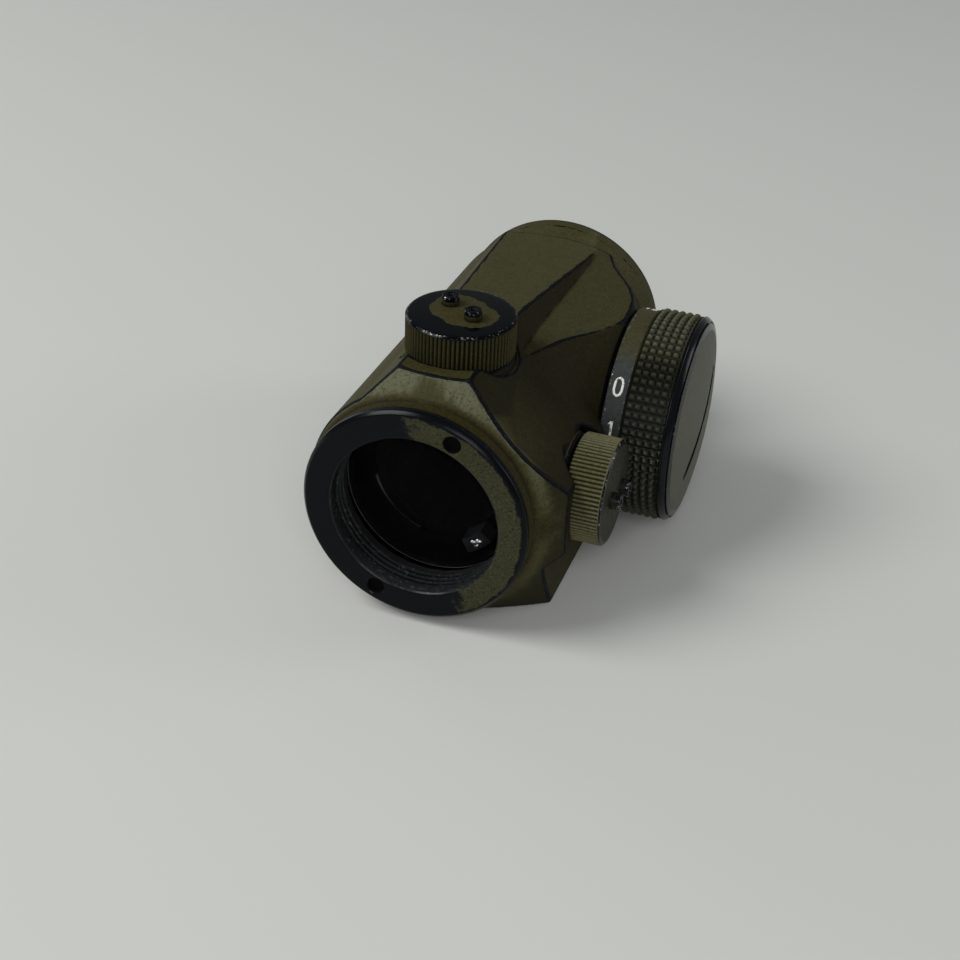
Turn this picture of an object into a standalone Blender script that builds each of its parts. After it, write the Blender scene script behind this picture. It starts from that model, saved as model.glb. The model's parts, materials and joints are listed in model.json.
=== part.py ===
"""Compact tubular red dot finder: housing, rear cell, optics, two capped turrets and a
brightness knob that holds a coin cell.

Frame: +Y runs forward along the optical axis, +X is the knob side, +Z is up.  The origin is
the centre of the flat mounting face under the base.  Dimensions below are in millimetres.
"""
import math

import bmesh
import bpy
from mathutils import Matrix, Vector

MM = 0.001
ROUND = 48                # facets around the large turned shapes
SMALL = 28                # facets around seals and middling pieces
PEG = 14                  # facets around pins and small holes

# ---- overall ---------------------------------------------------------------------------
LENGTH = 62.0
HALF = LENGTH / 2
AXIS_Z = 15.6             # optical axis above the mounting face
TUBE_R = 15.45            # outside of the main tube
FLAT_Z = 17.13            # height of the top flat above the optical axis
BASE_X = 15.55            # half width of the base
CONE_REAR = -42.45        # rear end cone: y = r + CONE_REAR
CONE_FRONT = 39.15        # front end cone: y = CONE_FRONT - r
BORE_R = 11.2             # cavity around the optic tube

# ---- rear cell -------------------------------------------------------------------------
BEZEL_R = 14.75
BEZEL_FACE_R = 14.3
BEZEL_IN_R = 10.95
COLLAR_R = 14.5
SPANNER_R = 12.57         # radius of the two spanner holes
SPANNER_ANGLE = 67.5      # degrees from +X toward +Z
SPANNER_HOLE = 1.1
THREADS = 3               # filter thread grooves inside the ring
THREAD_PITCH = 0.9
SLEEVE_R = 12.4           # outside of the ring's sleeve
REAR_WINDOW = (11.8, -25.0, -23.4)            # radius, back, front
REAR_WINDOW_SEAL = (11.2, 12.0, -26.0, -25.3)  # radii, back, front

# ---- front cell ------------------------------------------------------------------------
HOOD_R = 12.6             # inside of the front hood
FRONT_WINDOW = (12.2, 22.85, 24.1)
FRONT_WINDOW_SEAL = (11.2, 12.25, 24.4, 25.0)
FRONT_WINDOW_RING = (11.0, 12.25, 25.3, 27.6)

# ---- optic tube ------------------------------------------------------------------------
PIVOT_Y = 15.75           # gimbal centre of the optic tube
PIVOT_PIN = 0.6           # radius of the gimbal pins
PIVOT_HOLE = 0.95
OPTIC_R = 9.5
OPTIC_REAR = -19.5
OPTIC_FRONT = 17.8
LENS_R = 8.55
LED_ANGLE = -52.0         # degrees from +X toward +Z
LED_SPREAD = 11           # half the angle that the emitter block spans
LED_AT = 9.2              # radius at which the emitter sits

# ---- turrets ---------------------------------------------------------------------------
TURRET_Y = -15.5
CAP_R = 6.95
CAP_BASE = 15.95          # underside of a turret cap, from the optical axis
CAP_TOP = 20.95
CAP_RIBS = 32
RIB_DEPTH = 0.24
STUB_R = 5.35
STUB_TOP = 19.2
FLANGE_R = 6.7            # raised flange under a turret cap
POCKET_R = 7.4            # cut around a turret for its cap
POCKET_FLOOR = 14.6
ADJUSTER_R = 4.2
WINDAGE_SHIFT = 0.45      # the windage turret stands this much further out
PIN_R = 1.1
PIN_H = 1.3
PIN_SPAN = 2.375          # half the distance between the two driver pins
ELEV_PIN_ANGLE = -34.6
WIND_PIN_ANGLE = 81.2

# ---- brightness knob -------------------------------------------------------------------
KNOB_Y = 6.5
KNOB_R = 14.35
SKIRT_R = 13.85
KNOB_IN = 16.6
KNURL_IN = 19.45
KNURL_OUT = 25.15
KNOB_OUT = 25.85
BOSS_R = 13.4
BOSS_X = 16.2
KNOB_POCKET_R = 14.25
CONTACT_R = 2.2           # passage for the sprung contact
POST_R = 4.2              # hollow post that the knob turns on
POST_X = 19.55
CELL_R = 10.0
CELL_H = 3.2
CELL_X = 19.9
DOME_R = 57.0
DOME_X = 27.75
BATCAP_R = 13.7
SLOT_ANGLE = 41.3
SLOT_HALF = 8.6
POSITIONS = 15            # detent pitch is 360/15 = 24 degrees
DETENT_R = 12.0

# ---- base ------------------------------------------------------------------------------
MOUNT_X = 11.2            # tapped holes of the mounting face
MOUNT_Y = 12.0
MOUNT_R = 1.25
MOUNT_DEEP = 4.6
SLOT_Y = (5.6, 8.4)       # recoil slot across the base
SLOT_DEEP = 1.2
BOARD_BAY = (-8.0, 8.0, -13.0, -2.0, 3.3, 5.4)
CONTROL_BOARD = (-7.6, 7.6, -12.6, -2.4, 3.7, 4.4)


# ---- helpers ---------------------------------------------------------------------------
def material(name, colour, rough, metal):
    mat = bpy.data.materials.new(name)
    mat.use_nodes = True
    node = mat.node_tree.nodes["Principled BSDF"]
    node.inputs["Base Color"].default_value = (*colour, 1.0)
    node.inputs["Roughness"].default_value = rough
    node.inputs["Metallic"].default_value = metal
    mat.diffuse_color = (*colour, 1.0)
    return mat


def to_object(bm, name, mat=None, smooth=True, angle=32.0):
    bmesh.ops.remove_doubles(bm, verts=bm.verts, dist=1e-4)
    bmesh.ops.recalc_face_normals(bm, faces=bm.faces)
    bmesh.ops.scale(bm, vec=(MM, MM, MM), verts=bm.verts)
    mesh = bpy.data.meshes.new(name)
    bm.to_mesh(mesh)
    bm.free()
    obj = bpy.data.objects.new(name, mesh)
    bpy.context.scene.collection.objects.link(obj)
    if mat:
        mesh.materials.append(mat)
    if smooth:
        mesh.shade_smooth()
        mesh.set_sharp_from_angle(angle=math.radians(angle))
    return obj


def turned(profile, segments=ROUND, radius_at=None):
    """A solid of revolution about local Z from a closed (radius, height) outline."""
    bm = bmesh.new()
    rings = []
    for r, h in profile:
        if r < 1e-6:
            rings.append([bm.verts.new((0, 0, h))])
            continue
        ring = []
        for k in range(segments):
            a = 2 * math.pi * k / segments
            rr = r if radius_at is None else radius_at(r, h, k)
            ring.append(bm.verts.new((rr * math.cos(a), rr * math.sin(a), h)))
        rings.append(ring)
    for i, ring in enumerate(rings):
        nxt = rings[(i + 1) % len(rings)]
        if len(ring) == 1 and len(nxt) == 1:
            continue
        for k in range(segments):
            j = (k + 1) % segments
            if len(ring) == 1:
                bm.faces.new((ring[0], nxt[k], nxt[j]))
            elif len(nxt) == 1:
                bm.faces.new((ring[k], nxt[0], ring[j]))
            else:
                bm.faces.new((ring[k], nxt[k], nxt[j], ring[j]))
    return bm


def torus(major, minor, height, sides=6):
    outline = [(major + minor * math.cos(2 * math.pi * k / sides),
                height + minor * math.sin(2 * math.pi * k / sides)) for k in range(sides)]
    return turned(outline, SMALL)


def simple_ring(r0, r1, h0, h1, segments=SMALL):
    return turned([(r0, h0), (r1, h0), (r1, h1), (r0, h1)], segments)


def box(x0, x1, y0, y1, z0, z1):
    bm = bmesh.new()
    bmesh.ops.create_cube(bm, size=1.0)
    bmesh.ops.scale(bm, vec=(x1 - x0, y1 - y0, z1 - z0), verts=bm.verts)
    bmesh.ops.translate(bm, vec=((x0 + x1) / 2, (y0 + y1) / 2, (z0 + z1) / 2), verts=bm.verts)
    return bm


def cylinder(r, h0, h1, segments=PEG):
    return turned([(0, h0), (r, h0), (r, h1), (0, h1)], segments)


AXES = {"X": Matrix.Rotation(math.radians(90), 4, "Y"),
        "Y": Matrix.Rotation(math.radians(-90), 4, "X"),
        "Z": Matrix.Identity(4)}


def orient(obj, axis, origin):
    """Point the object's local Z along a world axis and put its origin there (mm)."""
    obj.rotation_euler = AXES[axis].to_euler()
    obj.location = Vector(origin) * MM
    return obj


def moved(bm, axis, origin):
    """The same placement, baked into a cutter's vertices."""
    bmesh.ops.transform(bm, matrix=Matrix.Translation(origin) @ AXES[axis], verts=bm.verts)
    return bm


def shape(target, cutters, operation="DIFFERENCE", solver="EXACT"):
    """Boolean the target with each cutter and keep the result as plain mesh."""
    for tool in cutters:
        tool.hide_render = True
        tool.display_type = "WIRE"
        mod = target.modifiers.new("cut", "BOOLEAN")
        mod.operation = operation
        mod.solver = solver
        mod.object = tool
    bpy.context.view_layer.update()
    graph = bpy.context.evaluated_depsgraph_get()
    result = bpy.data.meshes.new_from_object(target.evaluated_get(graph))
    target.modifiers.clear()
    old = target.data
    target.data = result
    bpy.data.meshes.remove(old)
    for tool in cutters:
        bpy.data.objects.remove(tool)
    target.data.shade_smooth()
    target.data.set_sharp_from_angle(angle=math.radians(32))
    return target


def cutter(bm):
    return to_object(bm, "cutter", smooth=False)


def rest(bm, name, mat, axis, origin, angle=32.0):
    return orient(to_object(bm, name, mat, angle=angle), axis, origin)


# ---- housing ---------------------------------------------------------------------------
# Right hand sections of the body, measured from the optical axis: the ridge beside the top
# facet, the crease below it, the outer edge of the shelf, and two points of the shoulder.
SECTIONS = (
    # y      ridge x  crease          edge            mid             side
    (-29.5, 4.75, (8.40, 13.60), (11.20, 10.80), (14.55, 7.45), (17.85, 4.15)),
    (-13.6, 4.55, (6.75, 15.25), (7.40, 14.60), (12.60, 9.40), (17.85, 4.15)),
    (-11.5, 4.45, (6.65, 14.85), (7.55, 14.45), (12.60, 9.40), (17.85, 4.15)),
    (-8.4, 4.32, (6.55, 14.72), (8.70, 14.40), (13.10, 9.35), (17.60, 4.10)),
    (-6.4, 4.25, (6.50, 14.80), (9.60, 14.33), (13.20, 9.90), (16.55, 4.90)),
    (-5.0, 4.30, (6.50, 14.86), (10.25, 14.28), (13.60, 10.60), (16.90, 5.50)),
    (-3.0, 4.45, (6.55, 14.92), (11.50, 14.20), (14.20, 12.00), (16.90, 8.50)),
    (-0.3, 4.75, (6.60, 15.00), (13.40, 14.05), (15.00, 13.10), (16.90, 10.60)),
    (2.6, 5.10, (6.75, 15.08), (15.00, 13.98), (15.75, 13.50), (16.90, 11.70)),
    (5.3, 5.45, (6.85, 15.12), (16.00, 13.92), (16.08, 13.65), (16.90, 10.00)),
    (9.2, 5.90, (7.05, 15.25), (15.80, 14.08), (15.98, 13.60), (16.90, 9.40)),
    (11.4, 6.20, (7.15, 15.30), (15.30, 14.22), (15.65, 13.30), (16.90, 9.30)),
    (13.6, 6.45, (7.25, 15.36), (14.30, 14.42), (15.00, 12.70), (16.90, 8.00)),
    (15.6, 6.70, (7.35, 15.42), (12.85, 14.68), (14.00, 11.90), (15.00, 9.50)),
    (17.9, 7.00, (7.42, 15.50), (11.05, 15.00), (12.80, 10.80), (14.10, 8.00)),
    (20.6, 7.30, (7.50, 15.55), (9.65, 15.25), (12.00, 9.80), (13.60, 6.50)),
    (24.5, 7.65, (7.90, 15.50), (8.60, 15.40), (11.20, 9.40), (13.40, 5.50)),
)


def ridge_height(y):
    return FLAT_Z if y < -5.5 else FLAT_Z - (y + 5.5) * 0.0552


def left_ridge(y):
    return 4.75 if y < -8 else 4.95 + (y + 8) * 0.064


def body_sections():
    for y, ridge, crease, edge, mid, side in SECTIONS:
        top = ridge_height(y)
        yield y, [(-left_ridge(y), top), (ridge, top), crease, edge, mid, side,
                  (side[0], -5.1), (BASE_X, -6.9), (BASE_X, -AXIS_Z), (-BASE_X, -AXIS_Z),
                  (-BASE_X, -2.0), (-10.6, 10.6)]


def housing_blank():
    bm = bmesh.new()
    loops = []
    for y, outline in body_sections():
        loops.append([bm.verts.new((x, y, z + AXIS_Z)) for x, z in outline])
    for a, b in zip(loops, loops[1:]):
        for k in range(len(a)):
            j = (k + 1) % len(a)
            bm.faces.new((a[k], a[j], b[j], b[k]))
    bm.faces.new(loops[0])
    bm.faces.new(list(reversed(loops[-1])))
    bmesh.ops.triangulate(bm, faces=bm.faces)
    return bm


def envelope_profile():
    """Turned outline that trims both ends: collar, cones, neck and front hood."""
    rear = [(0, -29.7), (COLLAR_R, -29.7), (COLLAR_R, -28.5), (COLLAR_R + 0.15, -27.8)]
    big = 26.0
    rear.append((big, big + CONE_REAR))
    front = [(big, CONE_FRONT - big), (15.0, CONE_FRONT - 15.0), (14.45, 24.9), (14.3, 25.7),
             (14.4, 26.7), (14.75, 27.6), (15.1, 28.3), (15.1, 30.6), (14.7, 31.0), (0, 31.0)]
    return rear + front


def turret_blank(shift):
    """Flange and threaded stub of a turret, along local Z from the optical axis."""
    base = CAP_BASE - 0.35 + shift
    stub = STUB_TOP + shift
    return turned([(0, 12.0), (FLANGE_R, 12.0), (FLANGE_R, base), (STUB_R, base), (STUB_R, stub - 0.3),
                   (STUB_R - 0.3, stub), (0, stub)], SMALL)


def turret_bore(shift):
    top = 19.6 + shift
    return turned([(0, 9.6), (2.4, 9.6), (2.4, 14.3 + shift), (4.55, 14.3 + shift),
                   (4.55, top), (0, top)], SMALL)


def turret_pocket(shift):
    floor = POCKET_FLOOR + shift
    return turned([(0, floor), (POCKET_R, floor), (POCKET_R, 24.0), (0, 24.0)], ROUND)


def make_housing(mat):
    """The main body, with its cells, turrets, knob boss and mounting face."""
    axis = (0, 0, AXIS_Z)
    knob = (0, KNOB_Y, AXIS_Z)
    turret = (0, TURRET_Y, AXIS_Z)

    def add(*tools):
        shape(body, tools, "UNION", "MANIFOLD")

    def cut(*tools):
        shape(body, tools, "DIFFERENCE", "MANIFOLD")

    body = to_object(housing_blank(), "housing", mat, smooth=False)
    boss = cylinder(BOSS_R, 6.0, BOSS_X + 1.5, ROUND)
    add(cutter(moved(boss, "X", knob)),
        cutter(moved(cylinder(TUBE_R, -30.5, 31.5, ROUND), "Y", axis)))
    envelope = cutter(moved(turned(envelope_profile()), "Y", axis))
    shape(body, [envelope], "INTERSECT", "MANIFOLD")

    cut(cutter(moved(turret_pocket(0), "Z", turret)),
        cutter(moved(turret_pocket(WINDAGE_SHIFT), "X", turret)),
        cutter(moved(cylinder(KNOB_POCKET_R, BOSS_X, 24.0, ROUND), "X", knob)))
    add(cutter(moved(turret_blank(0), "Z", turret)),
        cutter(moved(turret_blank(WINDAGE_SHIFT), "X", turret)),
        cutter(moved(cylinder(POST_R, 12.0, POST_X, SMALL), "X", knob)))

    bore = turned([(0, -32), (13.65, -32), (13.65, -28.7), (12.7, -28.7), (12.7, -25.6),
                   (12.1, -25.6), (12.1, -23.1), (BORE_R, -23.1), (BORE_R, 22.5),
                   (HOOD_R, 22.5), (HOOD_R, 32), (0, 32)])
    pivots = cylinder(PIVOT_HOLE, -12.4, 12.4)
    cut(cutter(moved(bore, "Y", axis)), cutter(moved(pivots, "X", (0, PIVOT_Y, AXIS_Z))),
        cutter(moved(turret_bore(0), "Z", turret)),
        cutter(moved(turret_bore(WINDAGE_SHIFT), "X", turret)))

    board_recess = turned([(5.2, 14.6), (10.6, 14.6), (10.6, 17.0), (5.2, 17.0)], SMALL)
    clip_groove = turned([(3.6, 18.45), (5.5, 18.45), (5.5, 19.25), (3.6, 19.25)], SMALL)
    cut(cutter(moved(board_recess, "X", knob)), cutter(moved(clip_groove, "X", knob)),
        cutter(moved(cylinder(CONTACT_R, 9.5, 20.5), "X", knob)),
        cutter(moved(cylinder(0.95, 12.6, 17.5, 12), "X", (0, KNOB_Y + DETENT_R, AXIS_Z))))

    base = [cutter(box(-20, 20, *SLOT_Y, -1, SLOT_DEEP)), cutter(box(*BOARD_BAY))]
    for sx in (-1, 1):
        for sy in (-1, 1):
            hole = turned([(0, -0.5), (MOUNT_R + 0.2, -0.5), (MOUNT_R, 0.35),
                           (MOUNT_R, MOUNT_DEEP), (0, MOUNT_DEEP + 0.6)], PEG)
            base.append(cutter(moved(hole, "Z", (sx * MOUNT_X, sy * MOUNT_Y, 0))))
    cut(*base)
    return body


# ---- turned and turret pieces ------------------------------------------------------------
def ribbed(root, crest):
    """Radius function for axial ribs: alternate vertices on crest and root."""
    def radius(r, h, k):
        if r < crest - 0.4:
            return r
        return r if k % 2 == 0 else r - root
    return radius


def cap_bm(shift):
    base = CAP_BASE + shift
    top = CAP_TOP + shift
    face = CAP_R - 0.35
    profile = [(5.7, base + 0.8), (6.4, base + 0.8), (6.4, base), (CAP_R, base),
               (CAP_R, top - 0.32), (face, top), (face * 0.5, top + 0.22), (0, top + 0.3),
               (0, top - 1.4), (5.7, top - 1.4)]
    return turned(profile, CAP_RIBS * 2, ribbed(RIB_DEPTH, CAP_R))


def make_cap(name, mat, axis, shift, pin_angle):
    origin = (0, TURRET_Y, AXIS_Z)
    cap = rest(cap_bm(shift), name, mat, axis, origin)
    pins = []
    for side in (-1, 1):
        a = math.radians(pin_angle)
        x = side * PIN_SPAN * math.cos(a)
        y = side * PIN_SPAN * math.sin(a)
        top = CAP_TOP + shift + 0.2 + PIN_H
        pin = turned([(0, top - 2.0), (PIN_R, top - 2.0), (PIN_R, top - 0.2), (PIN_R - 0.2, top),
                      (0.55, top), (0.3, top - 0.25), (0, top - 0.25)], PEG)
        bmesh.ops.translate(pin, vec=(x, y, 0), verts=pin.verts)
        pins.append(orient(cutter(pin), axis, origin))
    return shape(cap, pins, "UNION")


def make_adjuster(name, mat, axis, shift):
    origin = (0, TURRET_Y, AXIS_Z)
    bottom = 16.9 + shift
    top = bottom + 1.15
    profile = [(0, 11.6), (1.15, 11.6), (1.15, bottom), (ADJUSTER_R, bottom),
               (ADJUSTER_R, top - 0.15), (ADJUSTER_R - 0.15, top), (0, top)]
    piece = rest(turned(profile, SMALL), name, mat, axis, origin)
    cuts = []
    for side in (-1, 1):
        hole = cylinder(PIN_R + 0.1, bottom + 0.3, top + 1.0)
        bmesh.ops.translate(hole, vec=(side * PIN_SPAN, 0, 0), verts=hole.verts)
        cuts.append(orient(cutter(hole), axis, origin))
    return shape(piece, cuts)


def plunger_bm(shift):
    top = 13.8 + shift
    return turned([(0, 9.8), (1.2, 9.8), (2.1, 10.4), (2.1, top), (1.5, top), (1.5, 10.9),
                   (0, 10.9)], PEG)


def lock_ring_bm(shift):
    return turned([(3.75, 18.35 + shift), (4.25, 18.35 + shift), (4.25, 18.95 + shift),
                   (3.75, 18.95 + shift)], SMALL)


def bezel_bm():
    thread = []
    for k in range(THREADS):
        y = -27.2 - k * THREAD_PITCH
        thread += [(BEZEL_IN_R + 0.2, y), (BEZEL_IN_R + 0.45, y - THREAD_PITCH / 2)]
    profile = [(BEZEL_IN_R, -HALF), (BEZEL_FACE_R, -HALF), (BEZEL_R, -30.6), (BEZEL_R, -29.95),
               (SLEEVE_R, -29.95), (SLEEVE_R, -26.3), (BEZEL_IN_R + 0.2, -26.3)]
    return turned(profile + thread + [(BEZEL_IN_R + 0.2, -30.2), (BEZEL_IN_R, -30.5)])


def make_bezel(mat):
    ring = rest(bezel_bm(), "rear_bezel_ring", mat, "Y", (0, 0, AXIS_Z))
    holes = []
    for side in (0, 180):
        a = math.radians(SPANNER_ANGLE + side)
        hole = cylinder(SPANNER_HOLE, -31.6, -29.4)
        where = (SPANNER_R * math.cos(a), 0, AXIS_Z + SPANNER_R * math.sin(a))
        holes.append(cutter(moved(hole, "Y", where)))
    return shape(ring, holes)


def lens_profile(r, front, back, sag_front, sag_back, steps=3):
    """Closed (radius, height) outline of a lens between two spherical faces."""
    lower = [(r * k / steps, back + sag_back * (k / steps) ** 2) for k in range(steps + 1)]
    upper = [(r * k / steps, front + sag_front * (k / steps) ** 2) for k in range(steps, -1, -1)]
    return lower + upper


def make_tube(mat):
    profile = [(8.1, OPTIC_REAR), (OPTIC_R, OPTIC_REAR), (OPTIC_R, OPTIC_FRONT),
               (8.9, OPTIC_FRONT), (8.9, 14.2), (8.4, 14.2), (8.4, -18.6), (8.1, -18.6)]
    where = (0, PIVOT_Y, AXIS_Z)
    tube = rest(turned(profile), "optic_tube", mat, "Y", where)
    bmesh_shift(tube, -PIVOT_Y)
    upper = cylinder(PIVOT_PIN, OPTIC_R - 0.3, OPTIC_R + 1.0)
    lower = cylinder(PIVOT_PIN, -OPTIC_R - 1.0, 0.3 - OPTIC_R)
    return shape(tube, [cutter(moved(upper, "Z", where)), cutter(moved(lower, "Z", where))],
                 "UNION")


def bmesh_shift(obj, height):
    """Slide the mesh along its local Z so the object's origin can sit on its joint."""
    obj.data.transform(Matrix.Translation((0, 0, height * MM)))


def make_pivot_ring(mat):
    where = (0, PIVOT_Y, AXIS_Z)
    ring = rest(simple_ring(OPTIC_R + 0.35, 10.75, 14.4, 17.1, ROUND), "pivot_ring", mat, "Y",
                where)
    bmesh_shift(ring, -PIVOT_Y)
    stubs = [cutter(moved(cylinder(PIVOT_PIN, 10.4, 12.0), "X", where)),
             cutter(moved(cylinder(PIVOT_PIN, -12.0, -10.4), "X", where))]
    shape(ring, stubs, "UNION")
    holes = [cutter(moved(cylinder(PIVOT_HOLE - 0.03, -11.5, 11.5), "Z", where))]
    return shape(ring, holes)


def knob_profile():
    return [(4.5, 17.0), (12.9, 17.0), (12.9, KNOB_IN), (SKIRT_R - 0.15, KNOB_IN),
            (SKIRT_R, KNOB_IN + 0.15), (SKIRT_R, KNURL_IN - 0.05), (KNOB_R, KNURL_IN + 0.25),
            (KNOB_R, KNURL_OUT - 0.2), (KNOB_R - 0.35, KNURL_OUT), (KNOB_R - 0.35, 25.3),
            (KNOB_R - 0.1, 25.4), (KNOB_R - 0.15, 25.6), (KNOB_R - 0.5, KNOB_OUT),
            (12.9, KNOB_OUT), (12.9, 24.85), (11.9, 24.85), (11.9, 18.3), (4.5, 18.3)]


def make_knob(mat):
    where = (0, KNOB_Y, AXIS_Z)
    knob = rest(turned(knob_profile()), "brightness_knob", mat, "X", where)
    dimples = []
    for k in range(POSITIONS):
        a = 2 * math.pi * k / POSITIONS
        dimple = turned([(0, 16.5), (0.8, 16.5), (0.5, 17.25), (0, 17.35)], 8)
        at = (-DETENT_R * math.sin(a), DETENT_R * math.cos(a))
        bmesh.ops.translate(dimple, vec=(at[0], at[1], 0), verts=dimple.verts)
        dimples.append(orient(cutter(dimple), "X", where))
    return shape(knob, dimples)


def battery_cap_profile():
    under = 26.15
    dome = []
    for k in range(6):
        r = BATCAP_R * k / 5
        dome.append((r, DOME_X - (DOME_R - math.sqrt(DOME_R ** 2 - r * r))))
    edge = dome[-1][1]
    outer = [(r, h) for r, h in reversed(dome)]
    outer[0] = (BATCAP_R - 0.12, edge + 0.01)
    return [(0, 25.4), (10.4, 25.4), (10.4, 23.6), (11.5, 23.6), (11.5, under),
            (BATCAP_R - 0.1, under), (BATCAP_R, under + 0.02)] + outer


def make_battery_cap(mat):
    where = (0, KNOB_Y, AXIS_Z)
    cap = rest(turned(battery_cap_profile()), "battery_cap", mat, "X", where)
    depth = 1.35
    rise = depth - (DOME_R - math.sqrt(DOME_R ** 2 - SLOT_HALF ** 2))
    wheel = (SLOT_HALF ** 2 + rise ** 2) / (2 * rise)
    disc = turned([(0, -0.6), (wheel, -0.6), (wheel, 0.6), (0, 0.6)], 120)
    a = math.radians(SLOT_ANGLE)
    normal = Vector((0, -math.sin(a), math.cos(a)))
    centre = Vector((DOME_X - depth + wheel, KNOB_Y, AXIS_Z))
    turn = Vector((0, 0, 1)).rotation_difference(normal).to_matrix().to_4x4()
    bmesh.ops.transform(disc, matrix=Matrix.Translation(centre) @ turn, verts=disc.verts)
    return shape(cap, [cutter(disc)])


def spring_arc(r0, r1, a0, a1, y0, y1, steps=14):
    """A bent strip between two radii around the optical axis."""
    bm = bmesh.new()
    loops = []
    for k in range(steps + 1):
        a = math.radians(a0 + (a1 - a0) * k / steps)
        c, s = math.cos(a), math.sin(a)
        loops.append([bm.verts.new((r * c, y, r * s + AXIS_Z))
                      for r, y in ((r0, y0), (r1, y0), (r1, y1), (r0, y1))])
    for a, b in zip(loops, loops[1:]):
        for k in range(4):
            j = (k + 1) % 4
            bm.faces.new((a[k], a[j], b[j], b[k]))
    bm.faces.new(loops[0])
    bm.faces.new(list(reversed(loops[-1])))
    return bm


def coil_bm(radius, wire, pitch, turns, start, per_turn=8, sides=4):
    """A closed helical wire about local Z."""
    bm = bmesh.new()
    loops = []
    for k in range(int(turns * per_turn) + 1):
        a = 2 * math.pi * k / per_turn
        centre = Vector((radius * math.cos(a), radius * math.sin(a), start + pitch * a / (2 * math.pi)))
        out = Vector((math.cos(a), math.sin(a), 0))
        up = Vector((0, 0, 1))
        loops.append([bm.verts.new(centre + out * wire * math.cos(2 * math.pi * j / sides)
                                   + up * wire * math.sin(2 * math.pi * j / sides))
                      for j in range(sides)])
    for a, b in zip(loops, loops[1:]):
        for k in range(sides):
            j = (k + 1) % sides
            bm.faces.new((a[k], a[j], b[j], b[k]))
    bm.faces.new(loops[0])
    bm.faces.new(list(reversed(loops[-1])))
    return bm


def attach(child, parent):
    """Parent a piece to the one it moves with, leaving it where it is."""
    bpy.context.view_layer.update()
    child.parent = parent
    child.matrix_parent_inverse = parent.matrix_world.inverted()


def make_led(holder_mat, led_mat, tube):
    """The emitter sits in a block behind the tube's rear rim and shines forward."""
    block = spring_arc(LED_AT - 1, LED_AT + 1, LED_ANGLE - LED_SPREAD, LED_ANGLE + LED_SPREAD,
                       -22.5, -19.8, 4)
    holder = to_object(block, "led_holder", holder_mat, smooth=False)
    a = math.radians(LED_ANGLE)
    where = (LED_AT * math.cos(a), 0, AXIS_Z + LED_AT * math.sin(a))
    shape(holder, [cutter(moved(cylinder(0.75, -23.0, -19.0, 12), "Y", where))])
    led = turned([(0, -22.4), (0.45, -22.4), (0.45, -20.4), (0.25, -20.1), (0, -20.0)], 12)
    emitter = rest(led, "led_emitter", led_mat, "Y", where)
    for piece in (holder, emitter):
        attach(piece, tube)


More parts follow.
